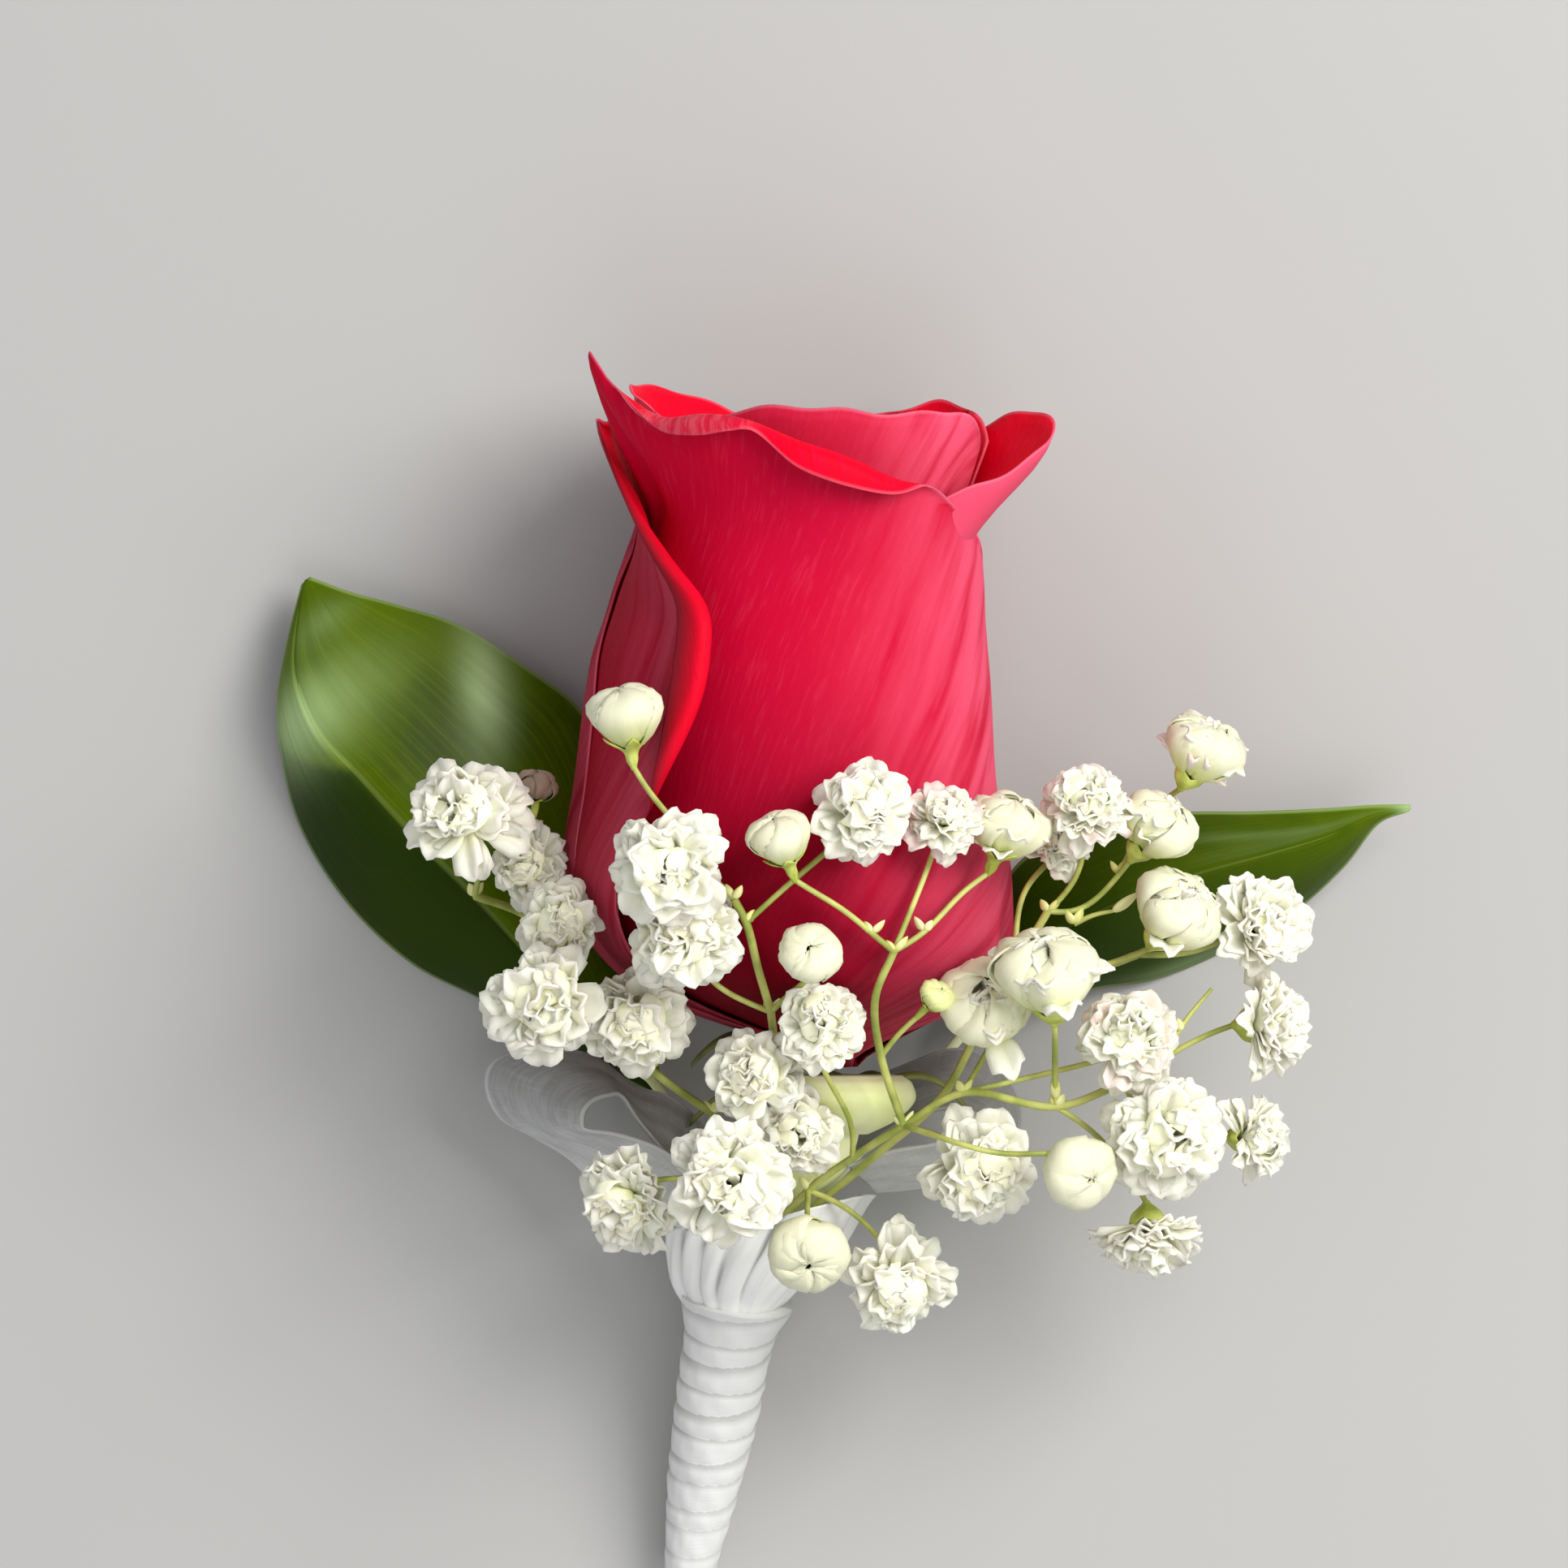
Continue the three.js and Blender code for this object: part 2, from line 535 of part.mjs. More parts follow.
const RIGHT_LEAF = [
  { lower: at(1196, 1290, 6.4), midrib: at(1188, 1278, 6.6), upper: at(1180, 1268, 6.4) },
  { lower: at(1270, 1246, 4.4), midrib: at(1236, 1206, 7), upper: at(1216, 1150, 4.2) },
  { lower: at(1352, 1222, 2.2), midrib: at(1310, 1150, 8.6), upper: at(1262, 1062, 4.6) },
  { lower: at(1430, 1210, 0.5), midrib: at(1392, 1108, 9.6), upper: at(1350, 1022, 6) },
  { lower: at(1515, 1176, 0.2), midrib: at(1478, 1076, 9.8), upper: at(1450, 1003, 7) },
  { lower: at(1600, 1128, 1.6), midrib: at(1566, 1052, 9), upper: at(1550, 1001, 7.4) },
  { lower: at(1664, 1070, 3.6), midrib: at(1640, 1030, 7.8), upper: at(1640, 997, 7) },
  { lower: at(1706, 1016, 5.4), midrib: at(1694, 1006, 6.6), upper: at(1696, 993, 6.2) },
  { lower: at(1746, 999, 5.6), midrib: at(1747, 996, 5.6), upper: at(1747, 992, 5.6) },
];
const LEFT_STALK = [at(890, 1545, 8), at(848, 1440, 6)];
const RIGHT_STALK = [at(946, 1540, 8), at(1080, 1400, 6.2)];
const LEAF_SWELL = 0.9;
const LEAF_SWELL_WIDTH = 8;

// Across a leaf s runs from the lower edge through the midrib, at one half, to the upper edge
function leafPoint(stations, s, v) {
  const place = v * (stations.length - 1);
  const row = stations[Math.min(Math.round(place), stations.length - 1)];
  const [from, to, share] = s < 0.5 ? [row.lower, row.midrib, s * 2] : [row.midrib, row.upper, s * 2 - 1];
  const point = from.clone().lerp(to, share);
  const spread = Math.min(1, from.distanceTo(to) / LEAF_SWELL_WIDTH);
  point.z += LEAF_SWELL * spread * Math.sin(share * Math.PI);
  return point;
}

function leaf(name, stations, bend) {
  const pointAt = (s, v) => leafPoint(stations, s, v);
  const surface = blade(pointAt, evenly(4), evenly(stations.length - 1), LEAF_THICKNESS);
  const bound = stem([...boundEnd(name), ...bend], STEM_IN_WRAP_RADIUS, 5);
  const stalk = stem([...bend, stations[0].midrib, stations[1].midrib], STALK_RADIUS, 5);
  return flattenedBelow(fused([surface, bound, stalk]));
}

// Baby's breath: heads as place, radius and facing, with the fork that carries each one

const HEADS = {
  head_01: { at: at(774, 890, 34), radius: 3.1, facing: [-0.15, 0.9, 0.35], bud: true },
  head_02: { at: at(568, 998, 26.5), radius: 4.6, facing: [-0.35, 0.4, 0.85] },
  head_03: { at: at(650, 1062, 20.6), radius: 3.2, facing: [-0.4, 0.3, 0.85] },
  head_04: { at: at(690, 1140, 25.5), radius: 3.5, facing: [-0.3, 0, 0.95] },
  head_05: { at: at(668, 1235, 30.5), radius: 4.6, facing: [-0.25, -0.1, 0.96] },
  head_06: { at: at(825, 1070, 39.6), radius: 4.5, facing: [-0.1, -0.15, 0.98] },
  head_07: { at: at(840, 1152, 35), radius: 4.3, facing: [-0.1, -0.05, 0.98] },
  head_08: { at: at(780, 1256, 26.2), radius: 4.3, facing: [-0.2, -0.1, 0.97] },
  head_09: { at: at(963, 1038, 38), radius: 2.6, facing: [-0.3, 0.75, 0.6], bud: true },
  head_10: { at: at(1060, 993, 38), radius: 4, facing: [0.1, 0.35, 0.93] },
  head_11: { at: at(1160, 1005, 33.6), radius: 3, facing: [0.15, 0.6, 0.78] },
  head_12: { at: at(1237, 1025, 30), radius: 3.1, facing: [0.35, 0.75, 0.55], bud: true },
  head_13: { at: at(1302, 1032, 24), radius: 2.8, facing: [0.2, 0.6, 0.75] },
  head_14: { at: at(1340, 990, 29.6), radius: 3.5, facing: [0.1, 0.5, 0.85] },
  head_15: { at: at(1420, 1022, 26), radius: 3, facing: [0.45, 0.6, 0.65] },
  head_16: { at: at(1478, 930, 25), radius: 3.1, facing: [0.4, 0.7, 0.6] },
  head_17: { at: at(1445, 1130, 27), radius: 3.4, facing: [0.4, 0.5, 0.75] },
  head_18: { at: at(1557, 1140, 25.5), radius: 3.6, facing: [0.5, 0.1, 0.85] },
  head_19: { at: at(1572, 1260, 26), radius: 3.6, facing: [0.85, 0.05, 0.5] },
  head_20: { at: at(1290, 1205, 32.6), radius: 4, facing: [-0.05, 0.75, 0.65] },
  head_21: { at: at(1215, 1245, 27.6), radius: 3.7, facing: [-0.1, 0.5, 0.85] },
  head_22: { at: at(1150, 1228, 29.6), radius: 1.4, facing: [0.3, 0.7, 0.6], bud: true },
  head_23: { at: at(1390, 1275, 28.6), radius: 3.9, facing: [0.1, 0.3, 0.95] },
  head_24: { at: at(1438, 1400, 29.6), radius: 4.6, facing: [0.3, -0.1, 0.95] },
  head_25: { at: at(1553, 1400, 25), radius: 2.9, facing: [0.75, 0, 0.65] },
  head_26: { at: at(1320, 1437, 30.5), radius: 3.2, facing: [0.5, -0.3, 0.8], bud: true },
  head_27: { at: at(1208, 1445, 24.8), radius: 4.4, facing: [0.1, -0.4, 0.9] },
  head_28: { at: at(1415, 1535, 23), radius: 3.5, facing: [0.05, -0.85, 0.5] },
  head_29: { at: at(1108, 1585, 22), radius: 4.2, facing: [0.1, -0.5, 0.85] },
  head_30: { at: at(995, 1535, 26.5), radius: 3.3, facing: [0, -0.5, 0.85], bud: true },
  head_31: { at: at(900, 1455, 31.6), radius: 4.7, facing: [0, -0.1, 0.99] },
  head_32: { at: at(770, 1483, 24.4), radius: 4.3, facing: [-0.5, -0.4, 0.75] },
  head_33: { at: at(930, 1321, 30), radius: 3.8, facing: [-0.2, 0.2, 0.95] },
  head_34: { at: at(985, 1395, 23), radius: 3.4, facing: [0.1, 0, 1] },
  head_35: { at: at(1012, 1258, 32.4), radius: 3.4, facing: [0.1, 0.3, 0.95] },
  head_36: { at: at(998, 1178, 36), radius: 2.6, facing: [0, 0.45, 0.9], bud: true },
};
const WITHERED_BUD = { at: at(662, 972, 20.6), radius: 1.4, facing: [0.1, 0.8, 0.5], bud: true };

// Rings of a head from its cup to its centre as [radius, height, wave of the rim], in shares of its radius
const HEAD_RINGS = [[0.42, -0.5, 0], [0.98, -0.14, 0.13], [0.64, 0, 0], [0.86, 0.28, 0.15], [0.5, 0.32, 0],
  [0.6, 0.56, 0.2], [0.24, 0.46, 0]];
const HEAD_FOOT = -0.6;
const HEAD_TIP = 0.56;
const HEAD_SIDES = 10;
const BUD_SIDES = 8;
const HEAD_JITTER = 0.1;
const HEAD_TWIST = 0.15;
const BUD_RINGS = [[0.45, -0.62, 0], [0.92, -0.2, 0.03], [0.98, 0.3, 0.05], [0.66, 0.78, 0.08],
  [0.22, 0.84, 0]];
const BUD_FOOT = -0.74;
const BUD_TIP = 0.8;

const unit = (facing) => new THREE.Vector3(...facing).normalize();
const footOf = (head) => (head.bud ? BUD_FOOT : HEAD_FOOT) * head.radius;

function flowerHead(head, seed) {
  const random = randomFrom(seed + 11);
  const table = head.bud ? BUD_RINGS : HEAD_RINGS;
  const sides = head.bud ? BUD_SIDES : HEAD_SIDES;
  const facing = unit(head.facing);
  const rings = table.map(([radius, height, wave], j) => Array.from({ length: sides }, (_, k) => {
    const lobe = (k + (j >> 1)) % 2 === 0 ? 1 : -1;
    const jitter = wave > HEAD_JITTER ? (random() - 0.5) * HEAD_JITTER : 0;
    const reach = head.radius * (radius * (1 + wave * lobe) + jitter);
    const angle = ((k + HEAD_TWIST * j) / sides) * 2 * Math.PI;
    const rise = head.radius * (height + 0.5 * wave * (random() - 0.5));
    return turned(new THREE.Vector3(reach * Math.cos(angle), reach * Math.sin(angle), rise), facing, head.at);
  }));
  const tip = (head.bud ? BUD_TIP : HEAD_TIP) * head.radius;
  return ringStack(rings, turned(new THREE.Vector3(0, 0, footOf(head)), facing, head.at),
    turned(new THREE.Vector3(0, 0, tip), facing, head.at));
}

// The green cup under a head, which stands off it by the seat gap
function cup(head) {
  const sides = 5;
  const top = footOf(head) - SEAT_GAP;
  const mouth = Math.max(CUP_MOUTH_LEAST, CUP_MOUTH_SHARE * head.radius);
  const profile = [[CUP_FOOT_RADIUS, top - CUP_LENGTH], [mouth, top]];
  const facing = unit(head.facing);
  const rings = profile.map(([radius, height]) => Array.from({ length: sides }, (_, k) => {
    const angle = (k / sides) * 2 * Math.PI;
    return turned(new THREE.Vector3(radius * Math.cos(angle), radius * Math.sin(angle), height), facing, head.at);
  }));
  const end = (height) => turned(new THREE.Vector3(0, 0, height), facing, head.at);
  return ringStack(rings, end(top - CUP_LENGTH), end(top));
}

// A small pointed scale at a fork
function bract(fork, direction) {
  const sides = 3;
  const ring = Array.from({ length: sides }, (_, k) => {
    const angle = (k / sides) * 2 * Math.PI;
    const corner = new THREE.Vector3(BRACT_RADIUS * Math.cos(angle), BRACT_RADIUS * Math.sin(angle), 0.2);
    return turned(corner, direction, fork);
  });
  return ringStack([ring], turned(new THREE.Vector3(0, 0, -0.4), direction, fork),
    turned(new THREE.Vector3(0, 0, BRACT_LENGTH), direction, fork));
}

// Each spray: its main stem and side stems as runs of points, and the run of points from a fork to each head
const SPRAYS = {
  spray_left_stems: {
    trunks: [
      [at(898, 1540, 14), at(884, 1450, 17), at(878, 1372, 19.6)],
      [at(878, 1372, 19.6), at(802, 1317, 20.4), at(716, 1225, 19.4), at(680, 1172, 17.4),
        at(648, 1130, 15.6), at(584, 1104, 17)],
    ],
    heads: {
      head_08: [at(802, 1317, 20.4)],
      head_05: [at(716, 1225, 19.4)],
      head_04: [at(680, 1172, 17.4)],
      head_03: [at(648, 1130, 15.6)],
      head_02: [at(584, 1104, 17)],
      head_32: [at(884, 1450, 17), at(840, 1455, 18.6)],
    },
    bracts: [at(878, 1372, 19.6), at(802, 1317, 20.4), at(584, 1104, 17)],
    withered: [at(648, 1130, 15.6), at(652, 1060, 15.4), at(660, 1005, 17)],
  },
  spray_centre_stems: {
    trunks: [
      [at(918, 1540, 14.4), at(928, 1466, 17), at(912, 1382, 21.4), at(952, 1284, 26.4), at(950, 1245, 28)],
      [at(950, 1245, 28), at(934, 1190, 31.6), at(920, 1135, 34), at(905, 1106, 34.6)],
    ],
    heads: {
      head_31: [at(928, 1466, 17), at(912, 1470, 22)],
      head_34: [at(928, 1466, 17)],
      head_33: [at(912, 1382, 21.4)],
      head_36: [at(950, 1245, 28), at(978, 1216, 31.6)],
      head_07: [at(950, 1245, 28), at(865, 1205, 30.2)],
      head_06: [at(905, 1106, 34.6), at(872, 1062, 34.8)],
      head_01: [at(872, 1062, 34.8), at(835, 1012, 34.6)],
      head_10: [at(920, 1135, 34), at(980, 1080, 35.2)],
    },
    bracts: [at(950, 1245, 28), at(920, 1135, 34), at(905, 1106, 34.6)],
  },
  spray_right_stems: {
    trunks: [
      [at(938, 1540, 14.4), at(996, 1468, 17.2), at(1050, 1427, 20), at(1113, 1386, 23.4), at(1186, 1345, 24.6),
        at(1300, 1362, 25), at(1385, 1332, 24.6)],
      [at(1113, 1386, 23.4), at(1085, 1300, 26.4), at(1078, 1225, 31), at(1100, 1170, 32.6)],
    ],
    heads: {
      head_30: [at(996, 1468, 17.2), at(994, 1490, 20)],
      head_29: [at(996, 1468, 17.2), at(1042, 1482, 17.8)],
      head_35: [at(1050, 1427, 20), at(1054, 1380, 23), at(1012, 1322, 25)],
      head_27: [at(1113, 1386, 23.4), at(1160, 1398, 22.6)],
      head_26: [at(1113, 1386, 23.4), at(1176, 1404, 29.6), at(1240, 1424, 29.4)],
      head_22: [at(1085, 1300, 26.4), at(1112, 1258, 28)],
      head_21: [at(1186, 1345, 24.6), at(1204, 1312, 24.4)],
      head_20: [at(1300, 1362, 25), at(1297, 1300, 26.6)],
      head_28: [at(1300, 1362, 25), at(1346, 1388, 24), at(1395, 1450, 22.6)],
      head_23: [at(1186, 1345, 24.6), at(1330, 1312, 23.2)],
      head_24: [at(1385, 1332, 24.6), at(1382, 1362, 24.6)],
      head_19: [at(1385, 1332, 24.6), at(1450, 1292, 24.4)],
      head_25: [at(1385, 1332, 24.6), at(1440, 1372, 22.6)],
      head_09: [at(1100, 1170, 32.6), at(1072, 1150, 34.2), at(1030, 1106, 35.4)],
      head_11: [at(1100, 1170, 32.6), at(1142, 1068, 31.8)],
      head_12: [at(1100, 1170, 32.6), at(1142, 1150, 31.2), at(1190, 1086, 28.6)],
    },
    bracts: [at(1113, 1386, 23.4), at(1186, 1345, 24.6), at(1300, 1362, 25), at(1385, 1332, 24.6),
      at(1100, 1170, 32.6), at(1142, 1150, 31.2), at(1072, 1150, 34.2), at(996, 1468, 17.2)],
  },
  spray_upper_right_stems: {
    trunks: [
      [at(956, 1540, 12.6), at(1062, 1440, 15.6), at(1160, 1352, 19.2), at(1206, 1268, 21),
        at(1250, 1190, 23.4), at(1290, 1122, 24.6)],
      [at(1250, 1190, 23.4), at(1355, 1190, 24), at(1400, 1176, 22.8)],
    ],
    heads: {
      head_13: [at(1250, 1190, 23.4), at(1256, 1090, 23)],
      head_14: [at(1290, 1122, 24.6), at(1336, 1078, 25.2)],
      head_15: [at(1290, 1122, 24.6), at(1322, 1138, 24.2), at(1378, 1076, 23.4)],
      head_16: [at(1378, 1076, 23.4), at(1418, 1000, 20.6), at(1434, 976, 21.4)],
      head_17: [at(1355, 1190, 24)],
      head_18: [at(1400, 1176, 22.8), at(1480, 1176, 21.6)],
    },
    bracts: [at(1290, 1122, 24.6), at(1322, 1138, 24.2), at(1378, 1076, 23.4)],
  },
};

// The last stretch of a flower stalk runs into its cup along the way the head faces
function pedicel(points, head) {
  const facing = unit(head.facing);
  const foot = footOf(head) - SEAT_GAP - CUP_LENGTH;
  const end = (depth) => turned(new THREE.Vector3(0, 0, depth), facing, head.at);
  return stem([...points, end(foot - 0.9), end(foot + 0.4)], PEDICEL_RADIUS, 3, 4);
}

function sprayStems(name) {
  const spray = SPRAYS[name];
  const parts = spray.trunks.map((points, k) => {
    const run = k === 0 ? [...boundEnd(name), ...points] : points;
    return stem(run, k === 0 ? STEM_IN_WRAP_RADIUS : SPRAY_STEM_RADIUS, 4);
  });
  Object.entries(spray.heads).forEach(([headName, points]) => {
    parts.push(pedicel(points, HEADS[headName]), cup(HEADS[headName]));
  });
  if (spray.withered) parts.push(pedicel(spray.withered, WITHERED_BUD), cup(WITHERED_BUD));
  spray.bracts.forEach((fork, k) => {
    const lean = k % 2 === 0 ? 0.8 : -0.8;
    parts.push(bract(fork, unit([lean, 0.7, 0.3])));
  });
  return fused(parts);
}

// Ribbon bow: each loop is a strip between a near edge and a far edge

const LEFT_LOOP = [
  { near: at(874, 1478, 17.2), far: at(842, 1518, 15.6) },
  { near: at(846, 1440, 16.4), far: at(792, 1492, 13.6) },
  { near: at(808, 1414, 15.2), far: at(742, 1470, 11.8) },
  { near: at(756, 1398, 14.2), far: at(700, 1432, 10.4) },
  { near: at(722, 1393, 13.6), far: at(655, 1405, 9.6) },
  { near: at(718, 1384, 13.4), far: at(612, 1379, 9.2) },
  { near: at(722, 1370, 13.2), far: at(594, 1340, 9.2) },
  { near: at(734, 1358, 13), far: at(607, 1309, 9.2) },
  { near: at(750, 1353, 12.8), far: at(660, 1294, 9) },
  { near: at(765, 1355, 12.4), far: at(728, 1304, 8.8) },
  { near: at(786, 1384, 12.2), far: at(780, 1342, 8.8) },
  { near: at(810, 1416, 12.2), far: at(826, 1356, 9) },
  { near: at(838, 1452, 12), far: at(866, 1392, 9.4) },
  { near: at(852, 1496, 11.4), far: at(884, 1452, 9.6) },
];
const RIGHT_LOOP = [
  { near: at(1044, 1438, 14.4), far: at(1080, 1472, 11.8) },
  { near: at(1100, 1420, 14), far: at(1124, 1468, 10.8) },
  { near: at(1148, 1411, 13.4), far: at(1176, 1462, 10.2) },
  { near: at(1186, 1404, 13), far: at(1232, 1440, 9.8) },
  { near: at(1204, 1392, 12.8), far: at(1260, 1396, 9.6) },
  { near: at(1206, 1380, 12.6), far: at(1252, 1346, 9.4) },
  { near: at(1190, 1372, 12.4), far: at(1222, 1308, 9.2) },
  { near: at(1160, 1370, 12), far: at(1176, 1296, 8.8) },
  { near: at(1120, 1384, 11), far: at(1110, 1318, 7.2) },
  { near: at(1076, 1412, 9.8), far: at(1046, 1352, 6.4) },
  { near: at(1030, 1456, 10), far: at(1004, 1412, 7.4) },
];

function ribbonLoop(stations) {
  const last = stations.length - 1;
  const pointAt = (s, v) => {
    const row = stations[Math.round(v * last)];
    return row.near.clone().lerp(row.far, s);
  };
  return blade(pointAt, evenly(1), evenly(last), RIBBON_THICKNESS);
}

// Pleated gather: a fluted funnel that rises from the top of the sleeve, in rows of centre and half widths
const GATHER = [
  { centre: at(901, 1634, 8.8), wide: 4.5, deep: 4.7, flute: 0.1 },
  { centre: at(904, 1618, 9.2), wide: 4.7, deep: 4.5, flute: 0.5 },
  { centre: at(908, 1588, 9.9), wide: 5, deep: 4.9, flute: 0.8 },
  { centre: at(926, 1550, 10.6), wide: 6.2, deep: 5.8, flute: 1 },
  { centre: at(950, 1516, 11.2), wide: 7.8, deep: 6.6, flute: 1 },
];
const GATHER_RIM_RISE = 2.6;
const GATHER_RIM_LEAN = 0.3;

function ribbonGather() {
  const sides = PLEATS * 2;
  const ringOf = (row, j, inset) => Array.from({ length: sides }, (_, k) => {
    const angle = (k / sides) * 2 * Math.PI;
    const fold = (k % 2 === 0 ? 1 : -1) * PLEAT_DEPTH * row.flute;
    const rise = j === GATHER.length - 1 ? GATHER_RIM_RISE * Math.max(0, Math.cos(angle - GATHER_RIM_LEAN)) : 0;
    return row.centre.clone().add(new THREE.Vector3(
      (row.wide + fold - inset) * Math.cos(angle),
      rise,
      (row.deep + fold - inset) * Math.sin(angle),
    ));
  });
  const stack = (inset) => GATHER.map((row, j) => ringOf(row, j, inset));
  return sleeve(stack(0), stack(RIBBON_THICKNESS));
}

// Materials and assembly

const finish = (color, roughness) => new THREE.MeshStandardMaterial({ color, roughness, metalness: 0 });
const RED_PETAL = finish(0xc8102e, 0.6);
const ROSE_GREEN = finish(0xb9cf74, 0.6);
const LEAF_GREEN = finish(0x3f6b1c, 0.35);
const STEM_GREEN = finish(0x9aa83c, 0.6);
const IVORY_PETAL = finish(0xf1f0e2, 0.8);
const WITHERED_BROWN = finish(0x96806e, 0.9);
const SILVER_RIBBON = finish(0xc4c4c8, 0.5);

function named(name, solid, material) {
  const mesh = solid.getMesh();
  const geometry = new THREE.BufferGeometry();
  const positions = new Float32Array(mesh.numVert * 3);
  for (let i = 0; i < mesh.numVert; i += 1) {
    positions.set(mesh.vertProperties.subarray(i * mesh.numProp, i * mesh.numProp + 3), i * 3);
  }
  geometry.setAttribute("position", new THREE.BufferAttribute(positions, 3));
  geometry.setIndex(new THREE.BufferAttribute(mesh.triVerts, 1));
  geometry.computeVertexNormals();
  const piece = new THREE.Mesh(geometry, material);
  piece.name = name;
  return piece;
}

const boutonniere = new THREE.Group();
boutonniere.add(named("rose_petals", roseBloom(), RED_PETAL));
boutonniere.add(named("rose_hip_and_stem", roseStem(), ROSE_GREEN));
boutonniere.add(named("leaf_left", leaf("leaf_left", LEFT_LEAF, LEFT_STALK), LEAF_GREEN));
boutonniere.add(named("leaf_right", leaf("leaf_right", RIGHT_LEAF, RIGHT_STALK), LEAF_GREEN));
Object.keys(SPRAYS).forEach((name) => boutonniere.add(named(name, sprayStems(name), STEM_GREEN)));
Object.entries(HEADS).forEach(([name, head], k) => {
  boutonniere.add(named(name, flowerHead(head, k), IVORY_PETAL));
});
boutonniere.add(named("withered_bud", flowerHead(WITHERED_BUD, 99), WITHERED_BROWN));
boutonniere.add(named("ribbon_wrap", ribbonWrap(), SILVER_RIBBON));
boutonniere.add(named("ribbon_gather", ribbonGather(), SILVER_RIBBON));
boutonniere.add(named("ribbon_loop_left", ribbonLoop(LEFT_LOOP), SILVER_RIBBON));
boutonniere.add(named("ribbon_loop_right", ribbonLoop(RIGHT_LOOP), SILVER_RIBBON));

export default boutonniere;
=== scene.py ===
"""Boutonniere: a red rose, two glossy leaves, sprays of double baby's breath and silver ribbon.

It lies on its back and is seen from above. Shapes are worked out in millimetres, in the part's own frame.
"""

import json
from math import radians, sqrt, tan

import bpy
import numpy as np
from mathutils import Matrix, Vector
from numpy import array, concatenate, cos, linspace, maximum, meshgrid, minimum, pi, sin, stack, tile

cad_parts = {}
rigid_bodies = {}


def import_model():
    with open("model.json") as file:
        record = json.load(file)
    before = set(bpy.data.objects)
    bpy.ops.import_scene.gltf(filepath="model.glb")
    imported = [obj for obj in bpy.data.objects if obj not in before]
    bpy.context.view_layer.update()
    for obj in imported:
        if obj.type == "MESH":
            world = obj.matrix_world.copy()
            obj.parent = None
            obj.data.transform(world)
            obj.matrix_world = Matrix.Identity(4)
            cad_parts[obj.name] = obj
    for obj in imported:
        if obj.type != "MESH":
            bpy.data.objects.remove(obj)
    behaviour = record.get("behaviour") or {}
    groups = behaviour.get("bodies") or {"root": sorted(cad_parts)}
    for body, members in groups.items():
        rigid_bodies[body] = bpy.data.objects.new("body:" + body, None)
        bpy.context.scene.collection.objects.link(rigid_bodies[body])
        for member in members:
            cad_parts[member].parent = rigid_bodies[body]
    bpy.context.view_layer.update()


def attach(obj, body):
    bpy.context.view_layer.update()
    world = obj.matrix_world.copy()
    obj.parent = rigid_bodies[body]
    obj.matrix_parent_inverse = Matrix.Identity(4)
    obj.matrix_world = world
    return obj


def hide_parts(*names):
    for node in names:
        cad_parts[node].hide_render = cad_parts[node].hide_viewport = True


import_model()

# Scale and centre of the front view, in which places are read off as picture points
MM = 0.001
MM_PER_POINT = 0.063
VIEW_CENTRE = (1038.8, 1203.05)
IMAGE_POINTS = 1932

# Rose bloom: radius and centre line against the height above its base
ROSE_BASE = (1040.4, 1314.9)
ROSE_RADIUS = [[0, 4.8], [2.5, 8.2], [5, 12], [7.5, 14.8], [10, 16.2], [15, 17.1], [22, 16.1],
               [31, 15.2], [36.5, 14.1], [42.5, 13.1], [46, 13.6], [50, 14.6], [56, 15.5]]
ROSE_CENTRE_X = [[0, 0], [7, -2.3], [15, -4.2], [31, -4], [36.5, -3.3], [42.5, -2.2], [50, -1.6], [56, -1.4]]
ROSE_AXIS_Z = 16.5
ROSE_AXIS_Z_HEIGHT = 15
ROSE_PITCH = radians(4)
PETAL_THICKNESS = 0.42
PETAL_RIM_THICKNESS = 0.16
ROLL_RADIUS = 0.95
ROLL_SHARE = 0.9
ROLL_END = 0.72
FLARE_START = 0.8
PETAL_ROOT_INSET = 4.5
PETAL_ROOT_SHARE = 0.14
LIFT_SPAN = (0.8, 1)
LIFT_CLIMB = (0.25, 0.5)
FOLD_SHARE = 0.84
FOLD_RADIUS = 0.55
FOLD_TURN = radians(194)

# Points across and up a large petal and a small one, across a fold and up a rolled rim
PETAL_GRID = (110, 56)
SMALL_PETAL_GRID = (56, 26)
FOLD_COLUMNS = 20
ROLL_ROWS = 15
PETAL_PHASE = 1.7

# The core of the bloom: its ends, and how far it lies inside the petals at its foot and above
CORE_BOTTOM = 4
CORE_TOP = 40
CORE_INSET = (3.4, 2.6)

# Hip, stem and sepals
HIP_ROWS = 40
HIP_SIDES = 48
HIP_RIBS = 0.02
HIP_DROP = 0.7
HIP_LENGTH = 4.6
HIP_PROFILE = [[0, 4.6], [0.6, 5.3], [2, 5.5], [3.6, 3.9], [4.6, 1.9]]
ROSE_STEM_RADIUS = 1.5
SEPAL_WIDTH = 2.2
SEPAL_START = 3
SEPALS = [(-72, 9.5, 4.4, 1.0), (-112, 10, 1.4, 4.0), (92, 6.5, 1.4, 2.6), (150, 3.5, 1.4, 2.6),
          (-165, 3.5, 1.4, 2.6)]

# Leaves and their stalks
LEAF_THICKNESS = 0.42
STALK_RADIUS = 0.7
LEAF_SWELL = 0.9
LEAF_SWELL_WIDTH = 8
LEAF_COLUMNS = 61
LEAF_ROWS = 90

# Baby's breath
TRUNK_RADIUS = 0.32
BOUND_RADIUS = 0.32
PEDICEL_RADIUS = 0.23
CUP_LENGTH = 1.3
CUP_WALL = 0.12
CUP_TEETH = 5
SEAT_GAP = 0.3
HEAD_FOOT = -0.6
BUD_FOOT = -0.74
SEED_STEP = 10

